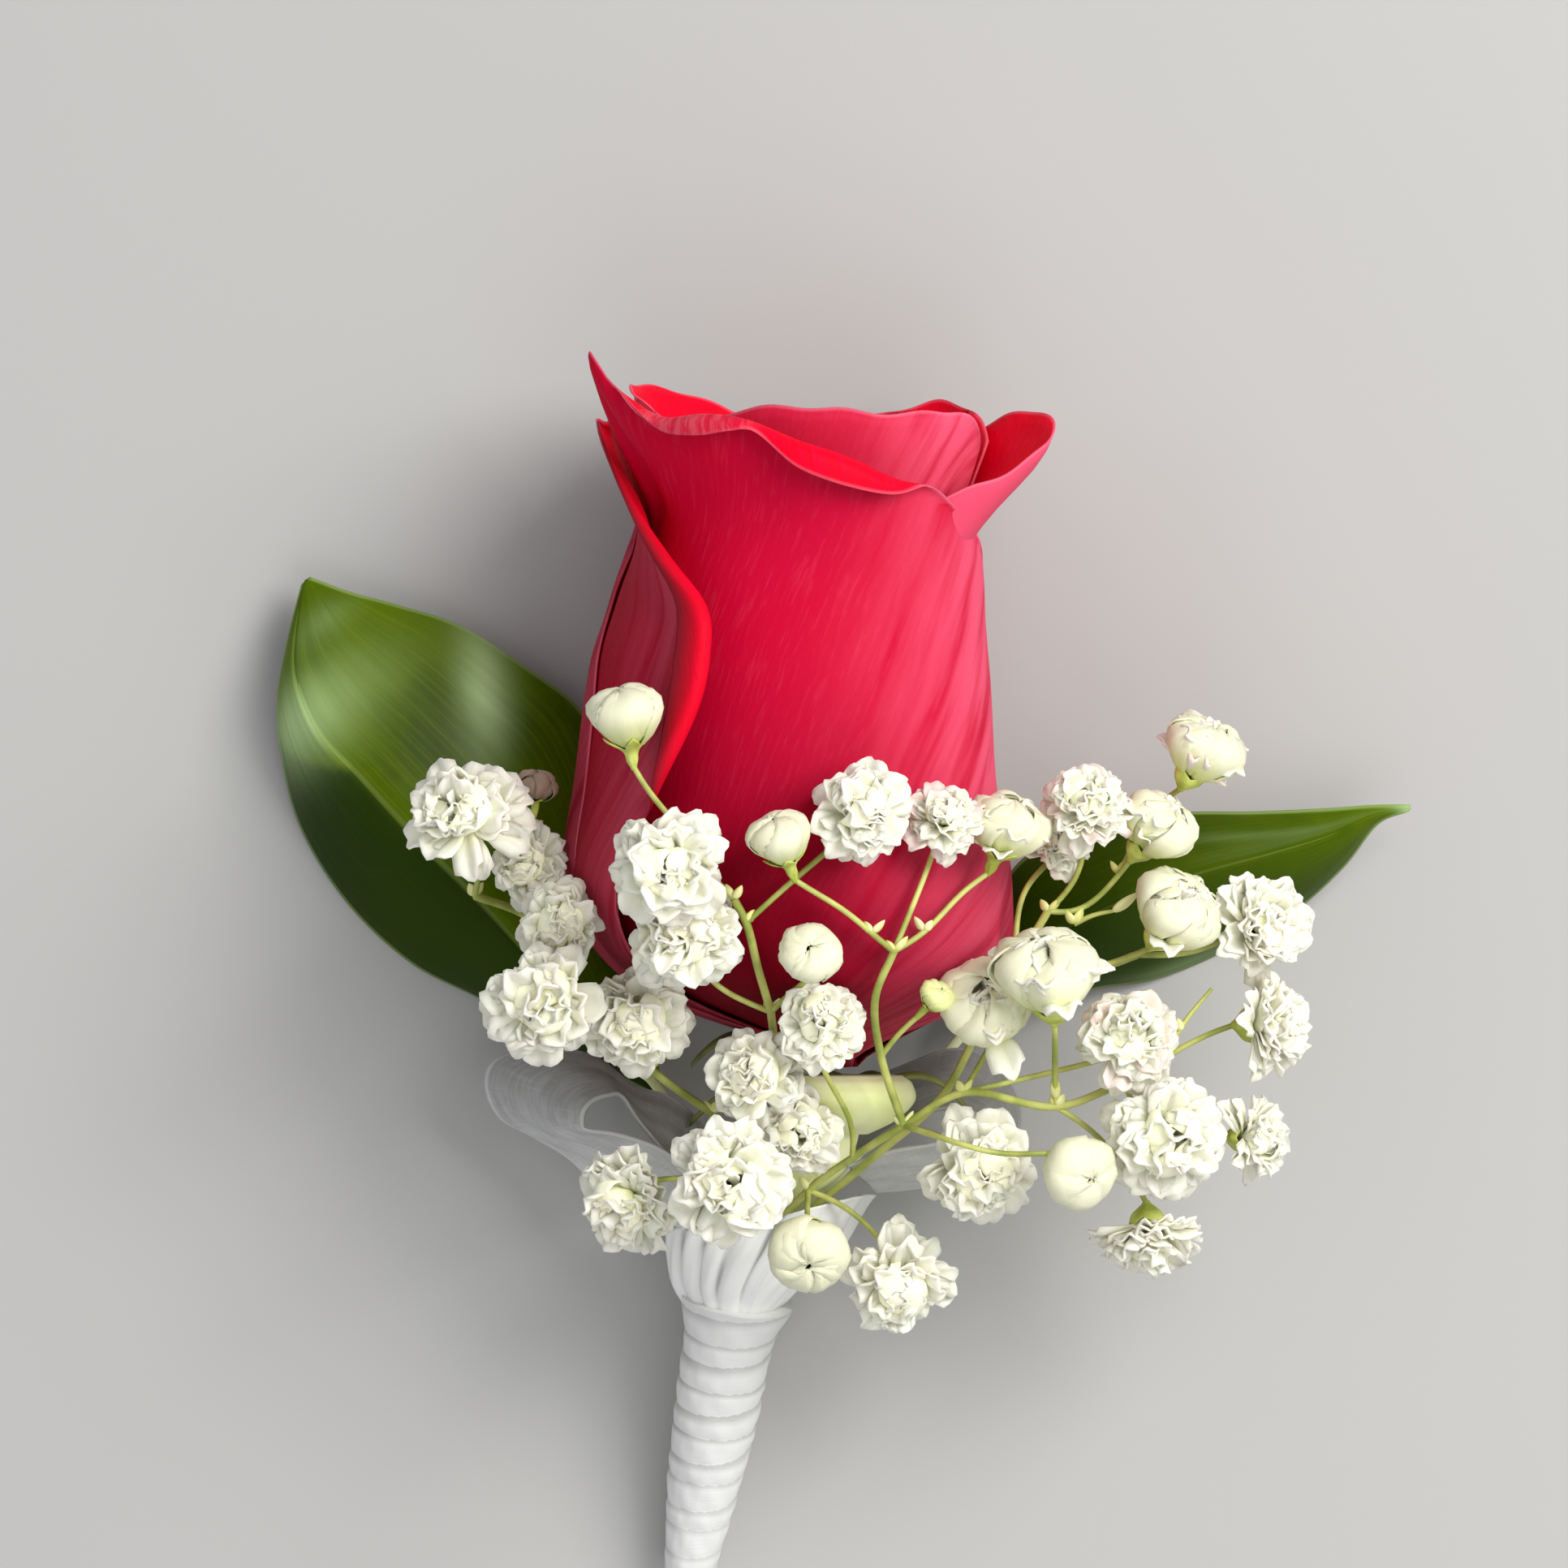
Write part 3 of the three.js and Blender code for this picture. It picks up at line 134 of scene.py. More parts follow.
# Ribbon
RIBBON_THICKNESS = 0.3
WRAP_PITCH = 2
WRAP_WIDTH = [[0, 4.5], [1.2, 4.05], [2.4, 3.65], [3.6, 3.4], [9.1, 3.2], [13.3, 2.95], [17.9, 2.52],
              [22, 2.02], [24, 1.86]]
WRAP_RADIUS = [[0, 4.3], [1.2, 3.9], [2.4, 3.6], [3.6, 3.5], [7, 3.45], [12, 3.2], [17, 2.85], [21, 2.6],
               [24, 2.45]]
STEM_RING_RADIUS = 2.05
STEM_IN_WRAP_DEPTH = 3.5
PLEATS = 11
PLEAT_DEPTH = 0.45
LOOP_COLUMNS = 25
LOOP_ROWS = 170


# Numbers and curves

def at(x, y, z):
    """A place in the front view, at the height z above the surface it lies on, in millimetres."""
    return array([(x - VIEW_CENTRE[0]) * MM_PER_POINT, (VIEW_CENTRE[1] - y) * MM_PER_POINT, z])


def all_at(places):
    return [at(*place) for place in places]


def along(table, position, column=1):
    """Smooth value through a table of [position, value, ...] rows, by cubic pieces."""
    rows = np.asarray(table, float)
    x, y = rows[:, 0], rows[:, column]
    slope = np.empty_like(y)
    slope[1:-1] = (y[2:] - y[:-2]) / (x[2:] - x[:-2])
    slope[0] = (y[1] - y[0]) / (x[1] - x[0])
    slope[-1] = (y[-1] - y[-2]) / (x[-1] - x[-2])
    position = np.clip(np.asarray(position, float), x[0], x[-1])
    i = np.clip(np.searchsorted(x, position, side="right") - 1, 0, len(x) - 2)
    width = x[i + 1] - x[i]
    t = (position - x[i]) / width
    return ((2 * t**3 - 3 * t**2 + 1) * y[i] + (t**3 - 2 * t**2 + t) * slope[i] * width
            + (3 * t**2 - 2 * t**3) * y[i + 1] + (t**3 - t**2) * slope[i + 1] * width)


def smoothstep(value, low, high):
    """0 below low and 1 above high, smoothly."""
    t = np.clip((value - low) / (high - low), 0, 1)
    return t * t * (3 - 2 * t)


def lerp(a, b, t):
    return a + (b - a) * t


def unit(direction):
    direction = np.asarray(direction, float)
    return direction / np.linalg.norm(direction)


def turned(points, direction, place):
    """Turns points given along +Z to point along a direction, and moves them to a place."""
    turn = Vector((0, 0, 1)).rotation_difference(Vector(unit(direction)))
    matrix = array(turn.to_matrix())
    return np.asarray(points, float) @ matrix.T + place


def smooth_run(points, step=0.5):
    """Points close together on the smooth curve through a few points."""
    points = [np.asarray(p, float) for p in points]
    padded = [2 * points[0] - points[1], *points, 2 * points[-1] - points[-2]]
    run = []
    for k in range(1, len(padded) - 2):
        p0, p1, p2, p3 = padded[k - 1:k + 3]
        t1 = sqrt(np.linalg.norm(p1 - p0)) + 1e-6
        t2 = t1 + sqrt(np.linalg.norm(p2 - p1)) + 1e-6
        t3 = t2 + sqrt(np.linalg.norm(p3 - p2)) + 1e-6
        count = max(2, int(np.linalg.norm(p2 - p1) / step))
        for t in linspace(t1, t2, count, endpoint=False):
            a1 = p0 * (t1 - t) / t1 + p1 * t / t1
            a2 = p1 * (t2 - t) / (t2 - t1) + p2 * (t - t1) / (t2 - t1)
            a3 = p2 * (t3 - t) / (t3 - t2) + p3 * (t - t2) / (t3 - t2)
            b1 = a1 * (t2 - t) / t2 + a2 * t / t2
            b2 = a2 * (t3 - t) / (t3 - t1) + a3 * (t - t1) / (t3 - t1)
            run.append(b1 * (t2 - t) / (t2 - t1) + b2 * (t - t1) / (t2 - t1))
    run.append(points[-1])
    return array(run)


# Meshes

def mesh_object(name, material, *made):
    """A piece from sets of points in millimetres, faces and perhaps uv and shades at each point."""
    points, faces = [], []
    for some_points, some_faces, *_ in made:
        faces += [[int(index) + len(points) for index in face] for face in some_faces]
        points += (np.asarray(some_points) * MM).tolist()
    mesh = bpy.data.meshes.new(name)
    mesh.from_pydata(points, [], faces)
    mesh.polygons.foreach_set("use_smooth", [True] * len(mesh.polygons))
    if len(made[0]) > 2:
        layer = mesh.uv_layers.new(name="UVMap")
        corners = np.empty(len(mesh.loops), dtype=np.int64)
        mesh.loops.foreach_get("vertex_index", corners)
        layer.data.foreach_set("uv", concatenate([uv for _, _, uv, _ in made])[corners].ravel())
        for key in made[0][3]:
            attribute = mesh.attributes.new(key, "FLOAT", "POINT")
            attribute.data.foreach_set("value", concatenate([shades[key] for *_, shades in made]))
    mesh.materials.append(material)
    mesh.update()
    return linked_object(name, mesh)


def linked_object(name, data):
    piece = bpy.data.objects.new(name, data)
    bpy.context.scene.collection.objects.link(piece)
    return piece


def grid_faces(rows, columns, start=0, turned_over=False, closed=False):
    """Four-sided faces of a grid of points, in rows; closed joins the last column to the first."""
    j, i = meshgrid(np.arange(rows - 1), np.arange(columns if closed else columns - 1), indexing="ij")
    a = start + j * columns + i
    b = start + j * columns + (i + 1) % columns
    quads = stack([a, b, b + columns, a + columns], axis=-1).reshape(-1, 4)
    return quads[:, ::-1] if turned_over else quads


def grid_normals(grid):
    across = np.gradient(grid, axis=1)
    upward = np.gradient(grid, axis=0)
    normals = np.cross(across, upward)
    return normals / maximum(np.linalg.norm(normals, axis=-1, keepdims=True), 1e-9)


def run_length(grid, axis):
    """How far each point of a grid is from the start of its line, along the grid."""
    steps = np.linalg.norm(np.diff(grid, axis=axis), axis=-1)
    return np.insert(np.cumsum(steps, axis=axis), 0, 0, axis=axis)


def blade(grid, thickness, shares, levels, shades):
    """Points, faces, uv and shades of a closed blade round a grid; the front side has side = 0."""
    rows, columns = grid.shape[:2]
    offset = grid_normals(grid) * (np.asarray(thickness) / 2)[..., None]
    count = rows * columns
    border = [*range(columns), *(j * columns + columns - 1 for j in range(1, rows)),
              *((rows - 1) * columns + i for i in range(columns - 2, -1, -1)),
              *(j * columns for j in range(rows - 2, 0, -1))]
    ring = array(border)
    after = np.roll(ring, -1)
    faces = [grid_faces(rows, columns), grid_faces(rows, columns, count, turned_over=True),
             stack([ring, ring + count, after + count, after], axis=-1)]
    shades = {key: np.broadcast_to(value, (rows, columns)) for key, value in shades.items()}
    made = two_sided(grid + offset, grid - offset, faces, stack(meshgrid(shares, levels), axis=-1), shades)
    made[3]["side"] = np.repeat([0.0, 1.0], count)
    return made


def sleeve(outer, inner, uv, shades):
    """Points, faces, uv and shades of a tube whose wall lies between an outer and an inner grid of rings."""
    rows, sides = outer.shape[:2]
    count = rows * sides
    last = count - sides
    k = np.arange(sides)
    after = (k + 1) % sides
    faces = [
        grid_faces(rows, sides, closed=True),
        grid_faces(rows, sides, count, turned_over=True, closed=True),
        stack([after, k, count + k, count + after], axis=-1),
        stack([last + k, last + after, count + last + after, count + last + k], axis=-1),
    ]
    return two_sided(outer, inner, faces, uv, shades)


def two_sided(outer, inner, faces, uv, shades):
    """The parts of a piece whose two sides have the same uv and shades."""
    points = concatenate([outer.reshape(-1, 3), inner.reshape(-1, 3)])
    shades = {key: tile(value.reshape(-1), 2) for key, value in shades.items()}
    return points, concatenate(faces), tile(uv.reshape(-1, 2), (2, 1)), shades


def capped(grid, first, last):
    """Points and faces of a round solid: rings of points, closed by a point at each end."""
    rows, sides = grid.shape[:2]
    end = rows * sides
    faces = grid_faces(rows, sides, closed=True).tolist()
    for k in range(sides):
        after = (k + 1) % sides
        faces += [[end, after, k], [end + 1, end - sides + k, end - sides + after]]
    return concatenate([grid.reshape(-1, 3), [first, last]]), faces


def round_grid(levels, sides):
    """A grid of levels and of angles once round."""
    return meshgrid(levels, linspace(0, 2 * pi, sides, endpoint=False), indexing="ij")


# Node trees

class Value:
    """What a node's output gives; sums of values add the nodes that work them out."""

    def __init__(self, socket):
        self.socket = socket
        self.tree = socket.id_data

    def maths(self, operation, *numbers):
        return output(self.tree, "ShaderNodeMath", enumerate(numbers), operation=operation)

    def __add__(self, other):
        return self.maths("ADD", self, other)

    def __sub__(self, other):
        return self.maths("SUBTRACT", self, other)

    def __rsub__(self, other):
        return self.maths("SUBTRACT", other, self)

    def __mul__(self, other):
        return self.maths("MULTIPLY", self, other)

    def __truediv__(self, other):
        return self.maths("DIVIDE", self, other)

    def __pow__(self, other):
        return self.maths("POWER", self, other)

    def __abs__(self):
        return self.maths("ABSOLUTE", self)

    def up(self, low, high):
        """0 below low and 1 above high, smoothly."""
        inputs = {0: self, 1: low, 2: high}
        return output(self.tree, "ShaderNodeMapRange", inputs, interpolation_type="SMOOTHSTEP")

    def down(self, low, high):
        """1 below low and 0 above high, smoothly."""
        return 1.0 - self.up(low, high)

    def noise(self, scale, detail, roughness=0.55):
        inputs = {"Vector": self, "Scale": scale, "Detail": detail, "Roughness": roughness}
        return output(self.tree, "ShaderNodeTexNoise", inputs, "Fac")


def add_node(tree, kind, inputs=(), **settings):
    """A node with its settings; each input is a plain value or the Value of another node."""
    node = tree.nodes.new(kind)
    for key, value in settings.items():
        setattr(node, key, value)
    for key, value in dict(inputs).items():
        if isinstance(value, Value):
            tree.links.new(value.socket, node.inputs[key])
        else:
            node.inputs[key].default_value = value
    return node


def output(tree, kind, inputs=(), key=0, **settings):
    """One output of a new node."""
    return Value(add_node(tree, kind, inputs, **settings).outputs[key])


def vector(tree, *coordinates):
    return output(tree, "ShaderNodeCombineXYZ", enumerate(coordinates))


def mixed(factor, *colours):
    """A colour between two colours, each three numbers or a Value."""
    inputs = {0: factor}
    for key, colour in zip((6, 7), colours):
        inputs[key] = colour if isinstance(colour, Value) else (*colour, 1)
    return output(factor.tree, "ShaderNodeMix", inputs, 2, data_type="RGBA")


def new_tree(name, kind, inputs, outputs):
    """A node tree, with the values it is given and the sockets of its results."""
    tree = bpy.data.node_groups.new(name, kind)
    for in_out, rows in (("INPUT", inputs), ("OUTPUT", outputs)):
        for label, sort, *value in rows:
            socket = tree.interface.new_socket(label, in_out=in_out, socket_type="NodeSocket" + sort)
            if value:
                socket.default_value = value[0]
    given = {socket.name: Value(socket) for socket in tree.nodes.new("NodeGroupInput").outputs}
    return tree, given, tree.nodes.new("NodeGroupOutput").inputs


def mottle_group():
    """Plant tissue: soft patches and a fine grain, from a place on the piece."""
    tree, given, result = new_tree("plant_mottle", "ShaderNodeTree", [
        ("Place", "Vector"), ("Patch Scale", "Float", 150.0), ("Grain Scale", "Float", 1500.0),
    ], [("Patches", "Float"), ("Grain", "Float")])
    patches = given["Place"].noise(given["Patch Scale"], 4.0)
    tree.links.new(patches.up(0.35, 0.65).socket, result["Patches"])
    tree.links.new(given["Place"].noise(given["Grain Scale"], 2.0).socket, result["Grain"])
    return tree


def streak_group():
    """Fine lines that fan out from a point below a petal or leaf and run its length."""
    tree, given, result = new_tree("fanned_streaks", "ShaderNodeTree", [
        ("Across", "Float", 0.0), ("Length", "Float", 0.0), ("Fan Across", "Float", 0.5),
        ("Fan Below", "Float", 2.0), ("Lines", "Float", 60.0), ("Breaks", "Float", 4.0),
    ], [("Streaks", "Float"), ("Broad", "Float")])
    sideways = given["Across"] - given["Fan Across"]
    angle = sideways.maths("ARCTAN2", sideways, given["Length"] + given["Fan Below"])
    fine = vector(tree, angle * given["Lines"], given["Length"] * given["Breaks"])
    broad = output(tree, "ShaderNodeVectorMath", {0: fine, "Scale": 0.22}, operation="SCALE")
    tree.links.new(fine.noise(1.0, 4.0, 0.65).socket, result["Streaks"])
    tree.links.new(broad.noise(1.0, 2.0).socket, result["Broad"])
    return tree


MOTTLE = mottle_group()
STREAKS = streak_group()


class Finish:
    """A material with its Principled shader, and the values on a piece that its looks are read from."""

    def __init__(self, name, constants):
        self.material = bpy.data.materials.new(name)
        self.material.use_nodes = True
        self.tree = self.material.node_tree
        self.shader = self.tree.nodes["Principled BSDF"].inputs
        for key, value in constants.items():
            self.shader[key].default_value = value
        places = self.tree.nodes.new("ShaderNodeTexCoord").outputs
        self.place = Value(places["Object"])
        split = add_node(self.tree, "ShaderNodeSeparateXYZ", {0: Value(places["UV"])}).outputs
        self.across = Value(split[0])
        self.length = Value(split[1])

    def shade(self, name):
        """A shade that the mesh holds at each point."""
        return output(self.tree, "ShaderNodeAttribute", key="Fac", attribute_name=name)

    def group(self, tree, inputs):
        """Both outputs of a group."""
        node = add_node(self.tree, "ShaderNodeGroup", inputs, node_tree=tree)
        return Value(node.outputs[0]), Value(node.outputs[1])

    def streaks(self, lines, breaks, fan_across=0.5, fan_below=2.0):
        """Fine streaks and broad ones."""
        return self.group(STREAKS, {"Across": self.across, "Length": self.length, "Fan Across": fan_across,
                                    "Fan Below": fan_below, "Lines": lines, "Breaks": breaks})

    def tissue(self, patch, grain):
        """Soft patches and a fine grain."""
        return self.group(MOTTLE, {"Place": self.place, "Patch Scale": patch, "Grain Scale": grain})

    def done(self, colour, rough=None, height=None, strength=0.0, distance=0.0):
        """The material, with its colour, and its roughness and bump if it has them."""
        self.tree.links.new(colour.socket, self.shader["Base Color"])
        if rough:
            self.tree.links.new(rough.socket, self.shader["Roughness"])
        if height:
            inputs = {"Height": height, "Strength": strength, "Distance": distance}
            self.tree.links.new(output(self.tree, "ShaderNodeBump", inputs).socket, self.shader["Normal"])
        return self.material


def rose_material():
    """Velvety red petal: fanned streaks, bright inner faces, a pinker right side of painted highlight and a
    dark foot of painted shade.
    """
    finish = Finish("rose_petal", {"Subsurface Weight": 0.08, "Subsurface Scale": 0.002,
                                   "Subsurface Radius": (1.0, 0.15, 0.2), "Specular IOR Level": 0.05})
    across, shade = finish.across, finish.shade
    streaks, broad = finish.streaks(190.0, 13.0, 0.0, 0.8)
    patches, grain = finish.tissue(90.0, 2600.0)
    deep, mid, light = (0.55, 0.0, 0.025), (0.50, 0.003, 0.034), (0.76, 0.088, 0.165)
    outer = mixed(across.up(0.12, 0.6) * 0.7 + patches * 0.3, deep, mid)
    outer = mixed(streaks.up(0.5, 0.72) * 0.30, outer, (0.64, 0.035, 0.085))
    outer = mixed(streaks.down(0.28, 0.46) * 0.35, outer, deep)
    # Painted highlight: lighter pink towards the right edge of each petal and on petals with a pink share,
    # standing in for light from the right.
    outer = mixed(across.up(0.42, 0.85) * broad.up(0.22, 0.62) * 0.95 + shade("pink"), outer, light)
    # Painted shade: petals at the left, away from the light, darkened by their deep share.
    outer = mixed(shade("deep"), outer, (0.16, 0.0, 0.008))
    inner = mixed(streaks.up(0.35, 0.7), (0.78, 0.0, 0.016), (0.90, 0.001, 0.028))
    # Painted shade: the turned-back lip darker towards its free edge and a little all over.
    inner = mixed(shade("turned_back"), inner, (0.22, 0.010, 0.020))
    colour = mixed(shade("inner"), outer, inner)
    colour = mixed(shade("rim").down(0.03, 0.34) * 0.38, colour, (0.86, 0.22, 0.32))
    band = mixed(streaks.up(0.4, 0.6), (0.58, 0.014, 0.052), (0.64, 0.09, 0.13))
    colour = mixed(shade("band") * 0.75, colour, band)
    # Painted shade: darker towards the foot of the bloom and the left edge of each petal.
    foot = (shade("height") + across * 34.0).down(16.0, 50.0)
    colour = mixed(foot * 0.88, colour, (0.11, 0.0, 0.005))
    return finish.done(colour, grain * 0.2 + 0.48, streaks + grain * 0.35, 0.22, 0.00025)


def leaf_material():
    """Glossy leaf with fine lines along its length, a paler midrib and margin and a duller back."""
    finish = Finish("leaf_green", {"Specular IOR Level": 0.05})
    across, shade = finish.across, finish.shade
    streaks, broad = finish.streaks(270.0, 3.0)
    patches, grain = finish.tissue(70.0, 1800.0)
    colour = mixed(patches, (0.042, 0.080, 0.001), (0.085, 0.14, 0.001))
    colour = mixed(streaks.up(0.45, 0.7) * 0.5, colour, (0.12, 0.18, 0.003))
    midrib = abs(across - 0.5).down(0.004, 0.016)
    colour = mixed(midrib * 0.55, colour, (0.24, 0.32, 0.06))
    colour = mixed(shade("side") * 0.7, colour, (0.12, 0.20, 0.06))
    # Painted shade: the half of the blade turned away from the light, up to a slanted line.
    colour = mixed(shade("dark"), colour, (0.010, 0.028, 0.001))
    colour = mixed(shade("rim").down(0.12, 0.42) * 0.6, colour, (0.28, 0.40, 0.12))
    # Painted glare: pale spots standing in for light caught by the gloss.
    colour = mixed(shade("wax") * (broad + 0.4), colour, (0.42, 0.58, 0.27))
    rough = shade("side") * 0.25 + (patches * 0.1 + 0.25)
    return finish.done(colour, rough, streaks * 0.7 + grain * 0.3, 0.12, 0.0002)


def plant_material(name, dark, light, smoothest, patch):
    """Plain plant tissue in two greens."""
    finish = Finish(name, {"Subsurface Weight": 0.05, "Subsurface Scale": 0.001})
    patches, grain = finish.tissue(patch, 3500.0)
    return finish.done(mixed(patches, dark, light), grain * 0.2 + smoothest, grain, 0.2, 0.0001)


def flower_material(name, petal, heart, blush, through=0.0):
    """Thin ivory petals, greenish at the heart and a little pink at some rims."""
    finish = Finish(name, {"Roughness": 0.6, "Subsurface Weight": through, "Subsurface Scale": 0.002,
                           "Subsurface Radius": (1.0, 0.95, 0.7), "Sheen Weight": 0.1})
    patches = finish.tissue(220.0, 4000.0)[0]
    streaks = finish.streaks(35.0, 2.0)[0]
    reach = finish.shade("reach")
    colour = mixed(reach.up(0.1, 0.75), heart, petal)
    colour = mixed(reach.up(0.75, 1.0) * patches * 0.35, colour, blush)
    return finish.done(colour, None, streaks, 0.3, 0.0001)


def ribbon_material():
    """Sheer silver satin: fine threads along it, fainter ones across, a soft shine and light selvedges."""
    finish = Finish("silver_ribbon", {"Sheen Weight": 0.15, "Sheen Roughness": 0.4})
    tree, across, length, shade = finish.tree, finish.across, finish.length, finish.shade
    warp = vector(tree, across * 34.0, length * 0.35).noise(1.0, 3.0, 0.6)
    weft = vector(tree, across * 2.0, length * 3.2).noise(1.0, 2.0)
    patches = finish.tissue(260.0, 2500.0)[0]
    colour = mixed(warp.up(0.3, 0.7), (0.31, 0.31, 0.302), (0.43, 0.43, 0.425))
    colour = mixed(weft.up(0.5, 0.75) * 0.3, colour, (0.60, 0.60, 0.60))
    colour = mixed(patches * 0.2, colour, (0.58, 0.58, 0.59))
    # Pale is a whiter tone on the gather and the wrap, and painted light on the lower strand of each loop.
    colour = mixed(shade("pale"), colour, (0.86, 0.86, 0.84))
    colour = mixed(shade("shadow"), colour, (0.15, 0.15, 0.14))
    selvedge = abs(across - 0.5).up(0.45, 0.48)
    colour = mixed(selvedge * 0.45, colour, (0.72, 0.72, 0.73))
    return finish.done(colour, warp * 0.15 + 0.38, warp + weft * 0.5, 0.3, 0.00012)


ROSE_RED = rose_material()
LEAF_GREEN = leaf_material()
HIP_GREEN = plant_material("rose_hip_green", (0.86, 0.93, 0.42), (0.95, 0.98, 0.62), 0.35, 180.0)
SEPAL_GREEN = plant_material("sepal_green", (0.10, 0.12, 0.03), (0.24, 0.26, 0.07), 0.5, 260.0)
STEM_GREEN = plant_material("spray_stem_green", (0.25, 0.30, 0.045), (0.58, 0.60, 0.17), 0.4, 220.0)
CUP_GREEN = plant_material("cup_yellow_green", (0.36, 0.44, 0.05), (0.62, 0.68, 0.16), 0.4, 500.0)
BRACT_CREAM = plant_material("bract_cream", (0.60, 0.61, 0.15), (0.85, 0.82, 0.42), 0.4, 400.0)
IVORY = flower_material("ivory_petal", (0.93, 0.925, 0.74), (0.91, 0.92, 0.58), (0.92, 0.80, 0.70), 0.45)
BLUSHED = flower_material("blushed_petal", (0.92, 0.78, 0.68), (0.88, 0.82, 0.52), (0.84, 0.50, 0.42), 0.45)
HEART_IVORY = flower_material("heart_petal", (0.92, 0.92, 0.70), (0.85, 0.90, 0.46), (0.92, 0.82, 0.72))
BUD_IVORY = flower_material("bud_petal", (0.75, 0.745, 0.53), (0.58, 0.66, 0.19), (0.82, 0.80, 0.62))
BUD_GREEN = flower_material("green_bud_petal", (0.76, 0.80, 0.34), (0.58, 0.66, 0.14), (0.86, 0.88, 0.55))
WITHERED = flower_material("withered_petal", (0.32, 0.22, 0.16), (0.22, 0.15, 0.09), (0.45, 0.36, 0.30))
SILVER = ribbon_material()


# Rose

def rose_centre(height):
    height = np.asarray(height, float)
    base = at(*ROSE_BASE, 0)
    z = ROSE_AXIS_Z + (height - ROSE_AXIS_Z_HEIGHT) * tan(ROSE_PITCH)
    return stack([base[0] + along(ROSE_CENTRE_X, height), base[1] + height, z], axis=-1)


def rose_point(angle, height, radius):
    """A point of the bloom: angle 0 faces the viewer and 90 degrees is to the right."""
    place = rose_centre(height)
    place[..., 0] += radius * sin(np.radians(angle))
    place[..., 2] += radius * cos(np.radians(angle))
    return place
